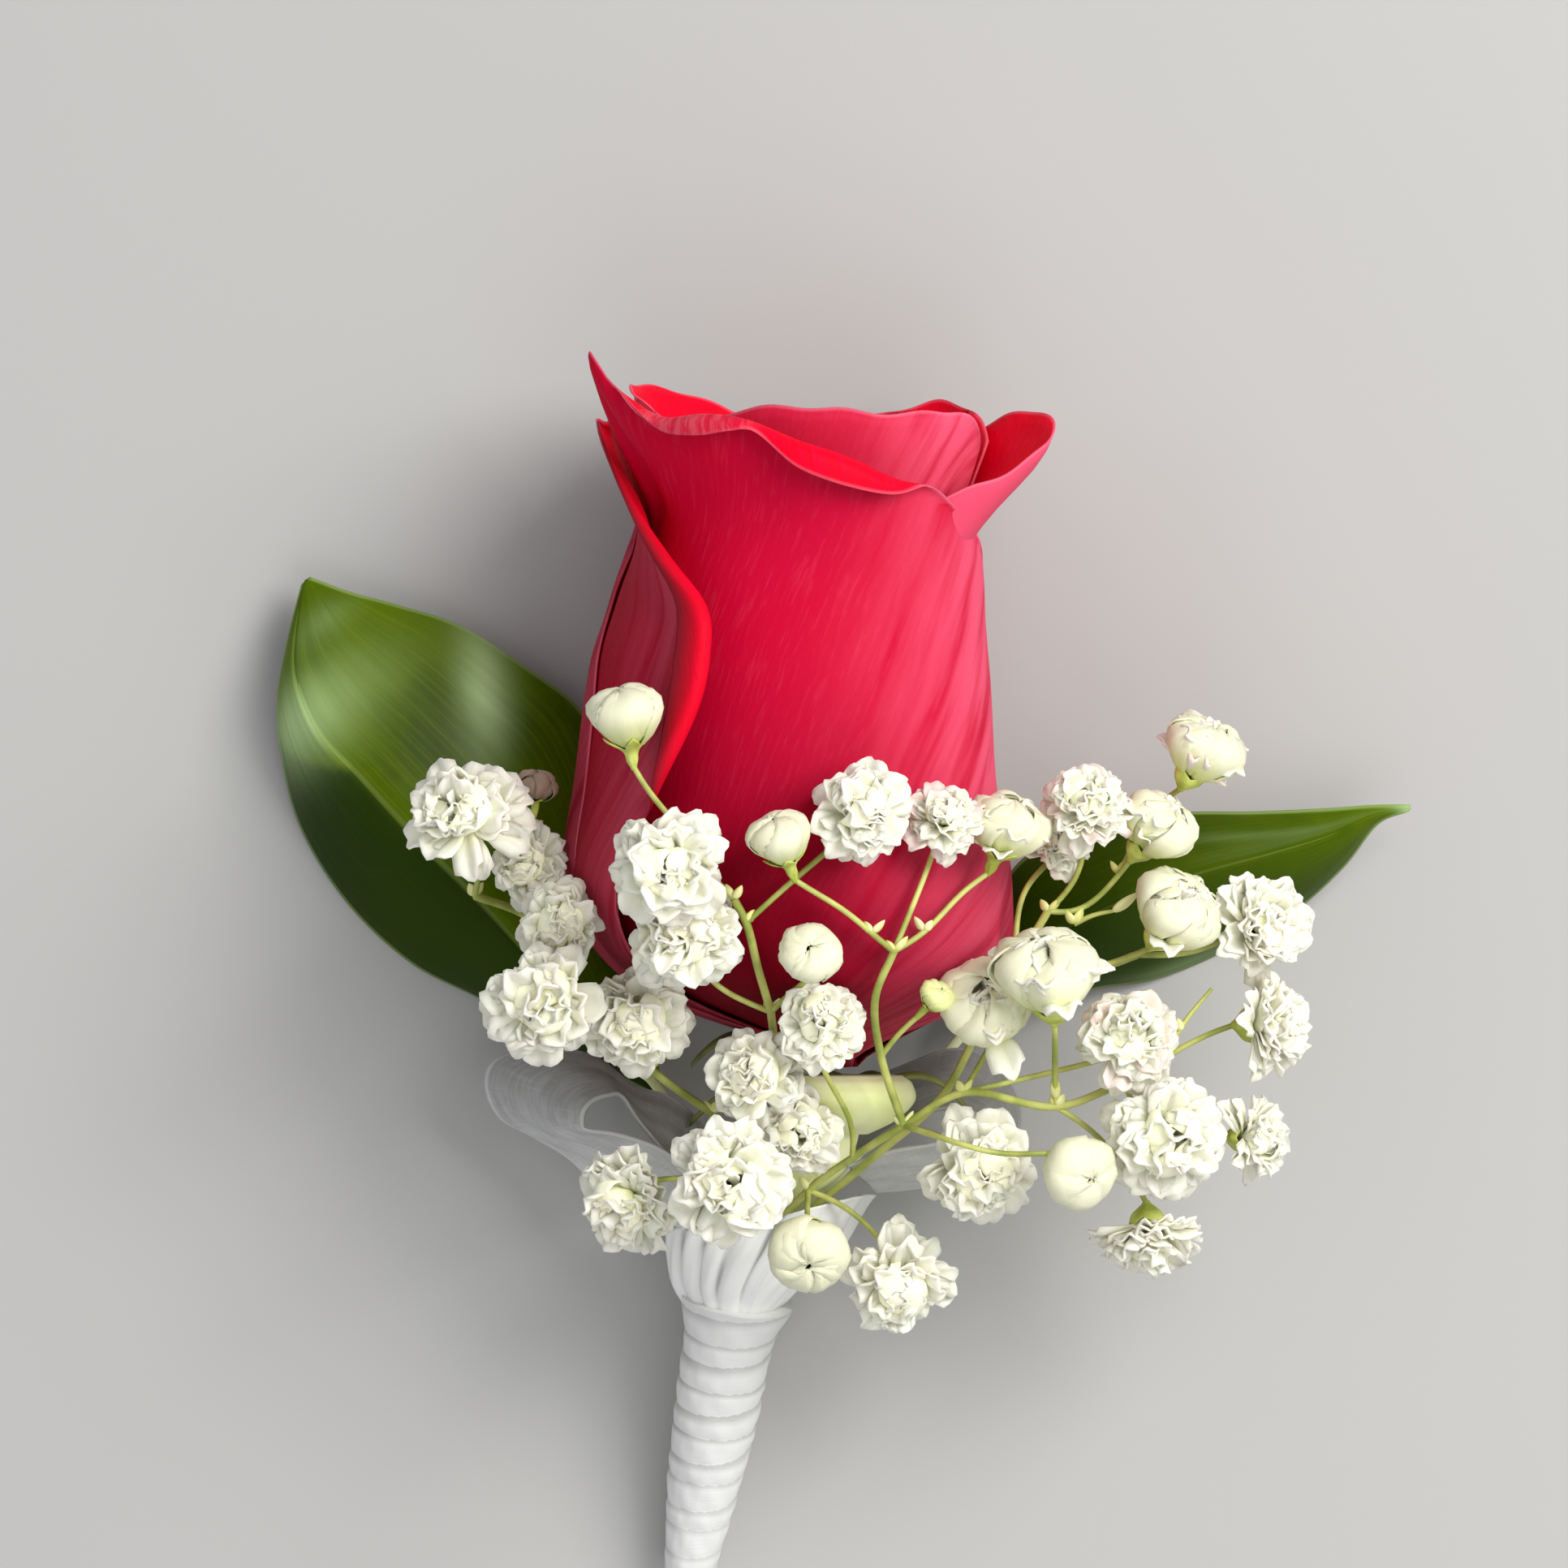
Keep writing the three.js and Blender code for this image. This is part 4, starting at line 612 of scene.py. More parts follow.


# Each petal: its side edges as [share of height, angle], how far it lies outside the bloom's radius at its
# left and right edge, and its rim from left to right as [share, height, flare, roll in degrees]. Roll gives
# the radius of the rolled rim, hang how far its free edge hangs below the roll, and fold the width of the
# right edge that is folded back outwards. From is the share of the height at which a petal starts, and lift
# raises its right edge. Pale is a band along the rim: its start, end and width.
# Pink is a share of painted highlight on a petal's outer face, and deep a share of painted shade.
PLAIN_PETAL = {"lift": 0, "from": 0, "pink": 0, "deep": 0, "pale": (0, 0, 1), "fold": None,
               "roll": [[0, ROLL_RADIUS], [1, ROLL_RADIUS]], "hang": [[0, 0], [1, 0]]}
PETALS = [
    {"outside": (-0.9, 0), "pale": (0.09, 0.33, 2.4),
     "roll": [[0, 0.9], [0.31, 0.9], [0.4, 1.15], [0.52, 1.1], [0.66, 0.8], [1, 0.6]],
     "hang": [[0, 0], [0.13, 0], [0.18, 0.6], [0.23, 0.85], [0.28, 0.45], [0.315, 0.05], [0.38, 0.9],
              [0.45, 1.1], [0.52, 0.6], [0.6, 0], [1, 0]],
     "left": [[0, -72], [0.25, -74], [0.6, -78], [1, -80]],
     "right": [[0, 40], [0.25, 95], [0.6, 112], [1, 112]],
     "rim": [[0, 48.6, 2.4, 0], [0.03, 55.2, 4.6, 0], [0.06, 52.4, 3.6, 30], [0.1, 50.5, 2.4, 110],
             [0.15, 49.3, 1.5, 150], [0.23, 49.2, 1.1, 165], [0.31, 48.8, 0.8, 150], [0.39, 47, 1, 170],
             [0.46, 45.8, 1, 172], [0.54, 44.4, 0.8, 150], [0.625, 43.6, 0.6, 70], [0.7, 42.4, 0.4, 40],
             [0.78, 41, 0.2, 20], [0.88, 39, 0, 0], [1, 36, -0.3, 0]]},
    {"lift": 1.5, "outside": (-0.9, 0.9),
     "deep": 0.45, "fold": [[0, 0], [0.36, 0.3], [0.47, 2.2], [0.57, 3.8], [0.68, 3.8], [0.76, 2.6],
                            [0.86, 1.2], [1, 0.2]],
     "left": [[0, -80], [0.3, -125], [0.6, -125], [1, -125]],
     "right": [[0, -50], [0.2, -52], [0.42, -33], [0.56, -23], [0.66, -22], [0.72, -27], [0.79, -43],
               [0.87, -64], [1, -88]],
     "rim": [[0, 46, 1, 0], [0.3, 47.5, 1.4, 0], [0.6, 49, 1.8, 30], [0.85, 49.8, 1.6, 30],
             [1, 50.2, 0.5, 0]]},
    {"outside": (0.5, 0.4), "deep": 0.6,
     "left": [[0, -260], [0.3, -218], [0.6, -212], [1, -206]],
     "right": [[0, -60], [0.3, -70], [0.55, -72], [0.75, -76], [1, -96]],
     "rim": [[0, 40, -0.4, 0], [0.25, 45, 0.6, 0], [0.5, 47, 1.6, 40], [0.72, 46, 1.6, 60],
             [0.88, 43.6, 0.9, 0], [1, 40, 0.2, 0]]},
    {"outside": (-0.9, 0),
     "left": [[0, 60], [0.3, 76], [0.6, 80], [1, 84]],
     "right": [[0, 160], [0.3, 182], [0.6, 190], [1, 190]],
     "rim": [[0, 40, -0.8, 0], [0.25, 44, 0, 0], [0.5, 46.5, 1.6, 40], [0.75, 47.5, 1.8, 50],
             [1, 44, 0.4, 0]]},
    {"from": 0.45, "outside": (-1.7, -1.7), "pink": 0.75,
     "left": [[0, 30], [1, 34]],
     "right": [[0, 120], [1, 128]],
     "rim": [[0, 42.2, 0, 0], [0.1, 43.4, 0.6, 0], [0.2, 44.6, 2.2, 0], [0.36, 46.4, 4.2, 0],
             [0.48, 48.4, 5, 0], [0.58, 50, 4.9, 0], [0.68, 51, 3.9, 0], [0.8, 50.8, 2.3, 0],
             [0.92, 49.6, 1.2, 0], [1, 48, 0.6, 0]]},
    {"from": 0.45, "outside": (-1.8, -1.8),
     "left": [[0, 100], [1, 104]],
     "right": [[0, 200], [1, 208]],
     "rim": [[0, 48.6, 0.8, 0], [0.15, 50.6, 1, 0], [0.35, 51.7, 1.2, 20], [0.55, 51, 1, 0],
             [0.8, 50.2, 1, 0], [1, 48, 0.5, 0]]},
    {"from": 0.45, "outside": (-1.6, -1.6),
     "left": [[0, -175], [1, -182]],
     "right": [[0, -60], [1, -54]],
     "rim": [[0, 49, 0.6, 0], [0.2, 50.4, 0.9, 20], [0.4, 51.8, 1.3, 60], [0.6, 52.2, 1.4, 70],
             [0.78, 51.6, 1.3, 50], [0.9, 50.6, 1, 0], [1, 48.6, 0.3, 0]]},
    {"from": 0.5, "outside": (-3.6, -3.2), "pink": 0.12,
     "left": [[0, -58], [1, -64]],
     "right": [[0, 92], [1, 96]],
     "rim": [[0, 49.4, 0.6, 0], [0.22, 51, 0.2, 0], [0.42, 50.9, -0.2, 0], [0.58, 50.5, -0.2, 0],
             [0.72, 50.8, 0, 0], [0.86, 50.2, 0.8, 0], [0.95, 48, 1.3, 0], [1, 45.6, 1.3, 0]]},
    {"from": 0.6, "outside": (-4.2, -4.4),
     "left": [[0, 80], [1, 80]],
     "right": [[0, 290], [1, 290]],
     "rim": [[0, 48.4, 0, 0], [0.3, 50, 0.2, 0], [0.6, 50.4, 0.3, 0], [1, 48.6, 0, 0]]},
]

# The heart of the bloom: petals wound one inside the next
HEART_PETALS = 4
HEART_FIRST_ANGLE = -70
HEART_START_INSET = -6.2
HEART_WIND = -0.8
HEART_STEP = -2.1
HEART_TURN = 140
HEART_SPAN = 210
HEART_RIM = 49.9
for k in range(HEART_PETALS):
    first = HEART_FIRST_ANGLE + k * HEART_TURN
    inset = HEART_START_INSET + k * HEART_STEP
    PETALS.append({
        "from": 0.72, "outside": (inset, inset + HEART_WIND),
        "left": [[0, first], [1, first]],
        "right": [[0, first + HEART_SPAN], [1, first + HEART_SPAN]],
        "rim": [[0, HEART_RIM - 1.6 - k * 0.3, 0, 0], [0.5, HEART_RIM - k * 0.4, 0, 0],
                [1, HEART_RIM - 1.4 - k * 0.3, 0, 0]],
    })


def petal_grid(petal, s, v, phase):
    """Points of a petal: s runs from its left edge to its right, v from its foot to its rim."""
    fold = petal["fold"]
    main = minimum(s / FOLD_SHARE, 1) if fold else s
    climb = minimum(v / ROLL_SHARE, 1)
    share = lerp(petal["from"], 1, climb)
    past = maximum(0, (v - ROLL_SHARE) / (1 - ROLL_SHARE))
    curl = np.radians(along(petal["rim"], main, 3)) * minimum(1, past / ROLL_END)
    hang = along(petal["hang"], main) * maximum(0, (past - ROLL_END) / (1 - ROLL_END))
    angle = lerp(along(petal["left"], share), along(petal["right"], share), main)
    height = share * along(petal["rim"], main)
    flare = along(petal["rim"], main, 2) * smoothstep(share, FLARE_START, 1)
    edge = petal["lift"] * smoothstep(main, *LIFT_SPAN) * smoothstep(share, *LIFT_CLIMB)
    root = PETAL_ROOT_INSET * (1 - smoothstep(share, 0, PETAL_ROOT_SHARE)) if petal["from"] == 0 else 0
    ripple = 0.10 * sin(9 * main + phase + 3 * share) + 0.07 * sin(21 * main + 2 * phase - 5 * share)
    ripple = ripple * smoothstep(share, 0.3, 1) * sin(pi * np.clip(main, 0, 1)) ** 0.5
    radius = along(ROSE_RADIUS, height) + lerp(*petal["outside"], main) + flare + edge - root + ripple
    radius = maximum(1, radius)
    wave = 0.12 * sin(33 * main + phase) * smoothstep(share, 0.9, 1)
    roll = along(petal["roll"], main)
    lowered = (roll - ROLL_RADIUS) * smoothstep(share, 0.8, 1)
    if fold:
        angle = angle - np.degrees(FOLD_RADIUS / radius) * smoothstep(main, 0.8, 1)
    points = rose_point(angle, height - lowered - hang + wave + roll * sin(curl),
                        radius + roll * (1 - cos(curl)))
    if fold:
        strip = along(fold, share) * maximum(0, (s - FOLD_SHARE) / (1 - FOLD_SHARE))
        bend = minimum(strip / FOLD_RADIUS, FOLD_TURN)
        flat = maximum(0, strip - FOLD_RADIUS * FOLD_TURN)
        sideways = FOLD_RADIUS * sin(bend) + flat * cos(FOLD_TURN)
        outward = FOLD_RADIUS * (1 - cos(bend)) + flat * sin(FOLD_TURN)
        turn = np.radians(angle)
        points[..., 0] += sideways * cos(turn) + outward * sin(turn)
        points[..., 2] += outward * cos(turn) - sideways * sin(turn)
    return points, height


def rose_petal(petal, phase):
    petal = {**PLAIN_PETAL, **petal}
    columns, rows = SMALL_PETAL_GRID if petal["from"] else PETAL_GRID
    shares = linspace(0, 1, columns)
    if petal["fold"]:
        shares = concatenate([linspace(0, FOLD_SHARE, columns), linspace(FOLD_SHARE, 1, FOLD_COLUMNS)[1:]])
    levels = linspace(0, ROLL_SHARE, rows)
    if any(row[3] > 0 for row in petal["rim"]):
        levels = concatenate([levels, linspace(ROLL_SHARE, 1, ROLL_ROWS)[1:]])
    s, v = meshgrid(shares, levels)
    grid, height = petal_grid(petal, s, v, phase)
    to_rim = run_length(grid[::-1], 0)[::-1]
    to_right = run_length(grid[:, ::-1], 1)[:, ::-1]
    rim = minimum(to_rim, minimum(run_length(grid, 1), to_right))
    thickness = lerp(PETAL_RIM_THICKNESS, PETAL_THICKNESS, smoothstep(rim, 0, 2.5))
    low, high, width = petal["pale"]
    band = smoothstep(s, low, low + 0.06) * (1 - smoothstep(s, high - 0.06, high))
    # The turned-back strip of a folded petal, which carries painted shade on its lip.
    turned_back = smoothstep(s, lerp(FOLD_SHARE, 1, 0.35), 1) if petal["fold"] else 0 * s
    lip = 0.2 * (1 - turned_back) if petal["fold"] else 0
    points, faces, uv, shades = blade(grid, thickness, shares, levels, {
        "rim": rim + 2 * turned_back, "height": height, "pink": petal["pink"], "deep": petal["deep"],
        "band": band * (1 - smoothstep(to_rim, 0.7 * width, width)), "turned_back": turned_back + lip})
    shades["inner"] = shades.pop("side")
    points[:, 2] = maximum(points[:, 2], 0)
    return points, faces, uv, shades


def rose_bloom():
    petals = [rose_petal(petal, PETAL_PHASE * k) for k, petal in enumerate(PETALS)]
    return mesh_object("rose_bloom", ROSE_RED, *petals)


def rose_core():
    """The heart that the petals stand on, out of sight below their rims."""
    height, turn = round_grid(linspace(CORE_BOTTOM, CORE_TOP, 28), 60)
    inset = lerp(*CORE_INSET, smoothstep(height, CORE_BOTTOM, 9))
    grid = rose_point(np.degrees(turn), height, along(ROSE_RADIUS, height) - inset)
    solid = capped(grid, rose_centre(CORE_BOTTOM), rose_centre(CORE_TOP + 1))
    return mesh_object("rose_core", ROSE_RED, solid)


# Binding: the line of the wound sleeve

WRAP_TOP = at(906, 1604, 9.4)
WRAP_END = at(846, 1955, 2.42)
WRAP_LENGTH = float(np.linalg.norm(WRAP_END - WRAP_TOP))
WRAP_DIRECTION = unit(WRAP_END - WRAP_TOP)
WRAP_SIDE = unit(np.cross((0, 0, 1), WRAP_DIRECTION))
WRAP_FRONT = unit(np.cross(WRAP_DIRECTION, WRAP_SIDE))


def wrap_point(depth, angle, radius):
    """A point of the sleeve: depth from its top, and an angle that is 0 on the right and 90 at the front."""
    depth, angle, radius = np.broadcast_arrays(depth, np.radians(angle), radius)
    return (WRAP_TOP + depth[..., None] * WRAP_DIRECTION + (radius * cos(angle))[..., None] * WRAP_SIDE
            + (radius * sin(angle))[..., None] * WRAP_FRONT)


STEM_PLACES = {
    "spray_left_stems": 150,
    "spray_centre_stems": 110,
    "spray_right_stems": 70,
    "spray_upper_right_stems": 28,
    "leaf_left": 212,
    "leaf_right": 328,
}


def bound_end(name):
    return [wrap_point(depth, STEM_PLACES[name], STEM_RING_RADIUS) for depth in (STEM_IN_WRAP_DEPTH, -0.5)]


# Tubes that follow a run of points

def ended(tree, geometry, given, result):
    """Ends a geometry tree with real points and the finish."""
    real = output(tree, "GeometryNodeRealizeInstances", {"Geometry": geometry})
    finished = output(tree, "GeometryNodeSetMaterial", {"Geometry": real, "Material": given["Finish"]})
    tree.links.new(finished.socket, result[0])
    return tree


def tube_tree():
    """Geometry nodes: a round tube along each curve, as thick as the curve's radius says."""
    tree, given, result = new_tree("stem_tube", "GeometryNodeTree", [
        ("Runs", "Geometry"), ("Sides", "Int", 8), ("Finish", "Material")], [("Tubes", "Geometry")])
    circle = {"Resolution": given["Sides"], "Radius": MM}
    ring = output(tree, "GeometryNodeCurvePrimitiveCircle", circle, "Curve")
    radius = output(tree, "GeometryNodeInputRadius")
    skin = output(tree, "GeometryNodeCurveToMesh", {
        "Curve": given["Runs"], "Profile Curve": ring, "Scale": radius, "Fill Caps": True})
    smooth = output(tree, "GeometryNodeSetShadeSmooth", {"Geometry": skin})
    return ended(tree, smooth, given, result)


def made_by(tree, name, start, inputs):
    """The plain mesh that a geometry nodes tree makes from a starting object, which is then removed."""
    modifier = start.modifiers.new(tree.name, "NODES")
    modifier.node_group = tree
    sockets = {item.name: item.identifier for item in tree.interface.items_tree if item.in_out == "INPUT"}
    for label, value in inputs.items():
        modifier[sockets[label]] = value
    graph = bpy.context.evaluated_depsgraph_get()
    graph.update()
    mesh = bpy.data.meshes.new_from_object(start.evaluated_get(graph), depsgraph=graph)
    mesh.name = name
    start.modifiers.clear()
    bpy.data.objects.remove(start)
    return linked_object(name, mesh)


TUBES = tube_tree()


def tubes(name, runs, material, sides=8):
    """A piece of tubes; each run is close points and the radius at its start and end, in millimetres."""
    curve = bpy.data.curves.new(name + "_runs", "CURVE")
    curve.dimensions = "3D"
    for run, start_radius, end_radius in runs:
        spline = curve.splines.new("POLY")
        spline.points.add(len(run) - 1)
        for k, point in enumerate(run):
            spline.points[k].co = (*(point * MM), 1)
            spline.points[k].radius = lerp(start_radius, end_radius, k / (len(run) - 1))
    return made_by(TUBES, name, linked_object(name + "_runs", curve), {"Sides": sides, "Finish": material})


# Hip, sepals and stem of the rose

def rose_hip():
    """The hip: a round solid with five soft ribs, with its axis along the rose."""
    centre = rose_centre(0) - (0, HIP_DROP, 0)
    drop, turn = round_grid(linspace(0, HIP_LENGTH, HIP_ROWS), HIP_SIDES)
    radius = along(HIP_PROFILE, drop) * (1 + HIP_RIBS * cos(5 * turn) * sin(pi * drop / HIP_LENGTH))
    grid = centre + stack([radius * sin(turn), -drop, radius * cos(turn)], axis=-1)
    return mesh_object("rose_hip", HIP_GREEN, capped(grid, centre, centre - (0, HIP_LENGTH, 0)))


def rose_stem():
    """The stem, from inside the hip to the end of the wrap."""
    x, y, z = rose_centre(0)
    foot = y - HIP_DROP - HIP_LENGTH
    run = [(x, foot + 1.5, z), (x - 1.2, foot - 2, z - 1), wrap_point(-7, 90, 0.4), wrap_point(0, 90, 0),
           wrap_point(WRAP_LENGTH * 0.5, 90, 0), wrap_point(WRAP_LENGTH - 0.2, 90, 0)]
    return tubes("rose_stem", [(smooth_run(run), ROSE_STEM_RADIUS, ROSE_STEM_RADIUS)], HIP_GREEN, sides=24)


def sepal(angle, length, arch, droop):
    turn = radians(angle)
    outward = array([sin(turn), 0, cos(turn)])
    sideways = array([-outward[2], 0, outward[0]])
    foot = rose_centre(0) - (0, HIP_DROP + 0.6, 0)
    shares, levels = linspace(0, 1, 9), linspace(0, 1, 22)
    s, v = meshgrid(shares, levels)
    width = SEPAL_WIDTH * (1 - v * v) + 0.15
    rise = arch * sin(v * pi * 0.8) - droop * v * v - 0.35 * (2 * s - 1) ** 2
    grid = (foot + (SEPAL_START + length * v)[..., None] * outward
            + ((s - 0.5) * width)[..., None] * sideways + rise[..., None] * array([0, 1, 0]))
    return blade(grid, lerp(0.35, 0.15, v), shares, levels, {})


def rose_sepals():
    return mesh_object("rose_sepals", SEPAL_GREEN, *(sepal(*row) for row in SEPALS))


# Leaves: stations from stalk to tip, each with its lower edge, midrib and upper edge

LEFT_LEAF = [
    ((800, 1352, 5.4), (806, 1342, 5.6), (812, 1332, 5.4)),
    ((700, 1296, 3.6), (740, 1286, 6.6), (790, 1240, 4.2)),
    ((590, 1236, 1.4), (668, 1204, 8), (752, 1110, 3.2)),
    ((500, 1190, 0.35), (592, 1118, 8.8), (752, 985, 3)),
    ((420, 1115, 0.2), (512, 1038, 9.2), (716, 880, 2.8)),
    ((362, 1022, 0.6), (440, 960, 9), (640, 818, 3.4)),
    ((338, 930, 2.6), (386, 902, 8.2), (560, 768, 4)),
    ((334, 860, 4.2), (358, 835, 6.8), (480, 742, 4.4)),
    ((346, 790, 4.6), (358, 775, 5.4), (425, 727, 4.6)),
    ((364, 718, 4.2), (369, 712, 4.2), (374, 708, 4.2)),
]
RIGHT_LEAF = [
    ((1196, 1290, 6.4), (1188, 1278, 6.6), (1180, 1268, 6.4)),
    ((1270, 1246, 4.4), (1236, 1206, 7), (1216, 1150, 4.2)),
    ((1352, 1222, 2.2), (1310, 1150, 8.6), (1262, 1062, 4.6)),
    ((1430, 1210, 0.5), (1392, 1108, 9.6), (1350, 1022, 6)),
    ((1515, 1176, 0.2), (1478, 1076, 9.8), (1450, 1003, 7)),
    ((1600, 1128, 1.6), (1566, 1052, 9), (1550, 1001, 7.4)),
    ((1664, 1070, 3.6), (1640, 1030, 7.8), (1640, 997, 7)),
    ((1706, 1016, 5.4), (1694, 1006, 6.6), (1696, 993, 6.2)),
    ((1746, 999, 5.6), (1747, 996, 5.6), (1747, 992, 5.6)),
]
LEFT_STALK = [(890, 1545, 8), (848, 1440, 6)]
RIGHT_STALK = [(946, 1540, 8), (1080, 1400, 6.2)]


def through_stations(stations, column, levels):
    """A smooth line through one column of the stations, at levels from 0 to 1."""
    table = [[k / (len(stations) - 1), *at(*row[column])] for k, row in enumerate(stations)]
    return stack([along(table, levels, c) for c in (1, 2, 3)], axis=-1)


# Whether the back of the blade is its upper face, how much painted shade each half has and where along it
# the painted shade ends;
# each painted glare as its place across and along, its width and length, its tilt and strength
LEFT_SHADING = {"turned": False, "lower": 0.85, "upper": 0.0, "ends": (0.565, 0.592), "glare": [
    (0.30, 0.70, 0.34, 0.07, 0.0, 0.9), (0.885, 0.56, 0.07, 0.085, -1.3, 0.95),
    (0.70, 0.86, 0.2, 0.05, 0.0, 0.2)]}
RIGHT_SHADING = {"turned": True, "lower": 0.85, "upper": 0.75, "ends": (0.2, 1.0), "glare": [
    (0.72, 0.60, 0.05, 0.13, 0.5, 0.10), (0.03, 0.44, 0.05, 0.12, 0.0, 0.35),
    (0.5, 1.0, 0.6, 0.04, 0.0, 0.6)]}


def leaf_blade(stations, shading):
    shares, levels = linspace(0, 1, LEAF_COLUMNS), linspace(0, 1, LEAF_ROWS)
    lower, midrib, upper = (through_stations(stations, c, levels)[:, None] for c in (0, 1, 2))
    s = shares[None, :, None]
    grid = np.where(s < 0.5, lerp(lower, midrib, s * 2), lerp(midrib, upper, s * 2 - 1))
    share = np.abs(2 * shares - 1)[None, :]
    reach = np.where(shares[None, :] < 0.5, np.linalg.norm(midrib - lower, axis=-1),
                     np.linalg.norm(midrib - upper, axis=-1))
    spread = minimum(1, reach / LEAF_SWELL_WIDTH)
    s2, v2 = meshgrid(shares, levels)
    veins = 0.012 * sin(150 * (v2 - 0.35 * share)) * spread * sin(pi * share)
    grid[..., 2] += LEAF_SWELL * spread * sin(share * pi) + veins
    grid[..., 2] -= 0.35 * np.exp(-(share / 0.035) ** 2) * spread
    rim = (1 - share) * reach + 0 * v2
    thickness = lerp(0.18, LEAF_THICKNESS, smoothstep(rim, 0, 1.5))
    # Painted shade over each half, ending along a slanted line across the blade.
    slant = v2 - 0.235 * maximum(0, 0.5 - s2)
    reached = 1 - smoothstep(slant, *shading["ends"])
    # Painted glare: soft spots, each tilted and stretched along the blade.
    glare = sum(strength * np.exp(-((s2 - s0 + tilt * (v2 - v0)) / wide) ** 2 - ((v2 - v0) / long) ** 2)
                for s0, v0, wide, long, tilt, strength in shading["glare"])
    points, faces, uv, shades = blade(grid, thickness, shares, levels, {
        "rim": rim, "dark": lerp(shading["lower"], shading["upper"], smoothstep(s2, 0.48, 0.52)) * reached,
        "wax": glare})
    points[:, 2] = maximum(points[:, 2], 0)
    if shading["turned"]:
        shades["side"] = 1 - shades["side"]
    return points, faces, uv, shades


def leaf(name, stations, bend, shading):
    """The blade of a leaf and its stalk, which runs from the wrap through the bend and into the midrib."""
    surface = mesh_object(name + "_blade", LEAF_GREEN, leaf_blade(stations, shading))
    first, second = at(*stations[0][1]), at(*stations[1][1])
    bend = all_at(bend)
    stalk = tubes(name + "_stalk", [
        (smooth_run([*bound_end(name), *bend]), BOUND_RADIUS, 0.5),
        (smooth_run([*bend, first, (first + second) / 2]), STALK_RADIUS, 0.35),
    ], HIP_GREEN, sides=12)
    return [surface, stalk]


# Baby's breath: each head as its place, radius, facing and kind. Open heads are full, fans show their sides,
# half ones are closed petals with loose ones outside, and tinged ones have a few pink petals.

HEADS = dict(enumerate([
    (774, 890, 34, 3.1, -0.15, 0.92, 0.28, "bud"), (568, 998, 26.5, 4.6, -0.35, 0.4, 0.85, "open"),
    (650, 1062, 20.6, 3.2, -0.4, 0.3, 0.85, "open"), (690, 1140, 25.5, 3.5, -0.3, 0, 0.95, "open"),
    (668, 1235, 30.5, 4.6, -0.25, -0.1, 0.96, "open"), (825, 1070, 39.6, 4.5, -0.1, -0.15, 0.98, "open"),
    (840, 1152, 35, 4.3, -0.1, -0.05, 0.98, "open"), (780, 1256, 26.2, 4.3, -0.2, -0.1, 0.97, "open"),
    (963, 1038, 38, 2.6, -0.3, 0.82, 0.42, "bud"), (1060, 993, 38, 4, 0.1, 0.35, 0.93, "open"),
    (1160, 1005, 33.6, 3, 0.15, 0.6, 0.78, "open tinged"),
    (1237, 1025, 30, 3.1, 0.35, 0.82, 0.36, "half bud"), (1302, 1032, 24, 2.8, 0.2, 0.6, 0.75, "open"),
    (1340, 990, 29.6, 3.5, 0.1, 0.5, 0.85, "open tinged"), (1420, 1022, 26, 3, 0.55, 0.72, 0.36, "half"),
    (1478, 930, 25, 3.1, 0.45, 0.76, 0.36, "half tinged"),
    (1445, 1130, 27, 3.4, 0.55, 0.66, 0.44, "half"), (1557, 1140, 25.5, 3.6, 0.5, 0.1, 0.85, "fan"),
    (1572, 1260, 26, 3.6, 0.93, 0.03, 0.3, "fan"), (1290, 1205, 32.6, 4, -0.1, 0.85, 0.42, "half"),
    (1215, 1245, 27.6, 3.7, -0.1, 0.62, 0.72, "half"),
    (1150, 1228, 29.6, 1.4, 0.5, 0.55, 0.6, "green bud"),
    (1390, 1275, 28.6, 3.9, 0.1, 0.3, 0.95, "open tinged"),
    (1438, 1400, 29.6, 4.6, 0.3, -0.1, 0.95, "open"), (1553, 1400, 25, 2.9, 0.85, 0, 0.45, "fan"),
    (1320, 1437, 30.5, 3.2, 0.5, -0.3, 0.8, "bud"), (1208, 1445, 24.8, 4.4, 0.1, -0.4, 0.9, "open"),
    (1415, 1535, 23, 3.5, 0.05, -0.92, 0.3, "fan"), (1108, 1585, 22, 4.2, 0.1, -0.5, 0.85, "open"),
    (995, 1535, 26.5, 3.3, 0, -0.5, 0.85, "bud"), (900, 1455, 31.6, 4.7, 0, -0.1, 0.99, "open"),
    (770, 1483, 24.4, 4.3, -0.55, -0.45, 0.68, "open"), (930, 1321, 30, 3.8, -0.2, 0.2, 0.95, "open"),
    (985, 1395, 23, 3.4, 0.1, 0, 1, "open"), (1012, 1258, 32.4, 3.4, 0.1, 0.3, 0.95, "open"),
    (998, 1178, 36, 2.6, 0, 0.45, 0.9, "bud"), (662, 972, 20.6, 1.4, 0.1, 0.8, 0.5, "withered bud"),
], 1))
WITHERED_HEAD = 37
HEAD_NAMES = {number: "head_%02d" % number for number in HEADS}
HEAD_NAMES[WITHERED_HEAD] = "withered_bud"

FORK_LEFT, FORK_LEFT_HIGH = (878, 1372, 19.6), (802, 1317, 20.4)
FORK_FACE, FORK_FACE_LOW, FORK_FACE_HIGH = (920, 1135, 34), (950, 1245, 28), (905, 1106, 34.6)
FORK_RIGHT, FORK_MIDDLE, FORK_FAR = (1113, 1386, 23.4), (1186, 1345, 24.6), (1300, 1362, 25)
FORK_END, FORK_INNER, FORK_LOW = (1385, 1332, 24.6), (1100, 1170, 32.6), (996, 1468, 17.2)
FORK_UPPER, FORK_SIDE, FORK_TIP = (1250, 1190, 23.4), (1290, 1122, 24.6), (1378, 1076, 23.4)

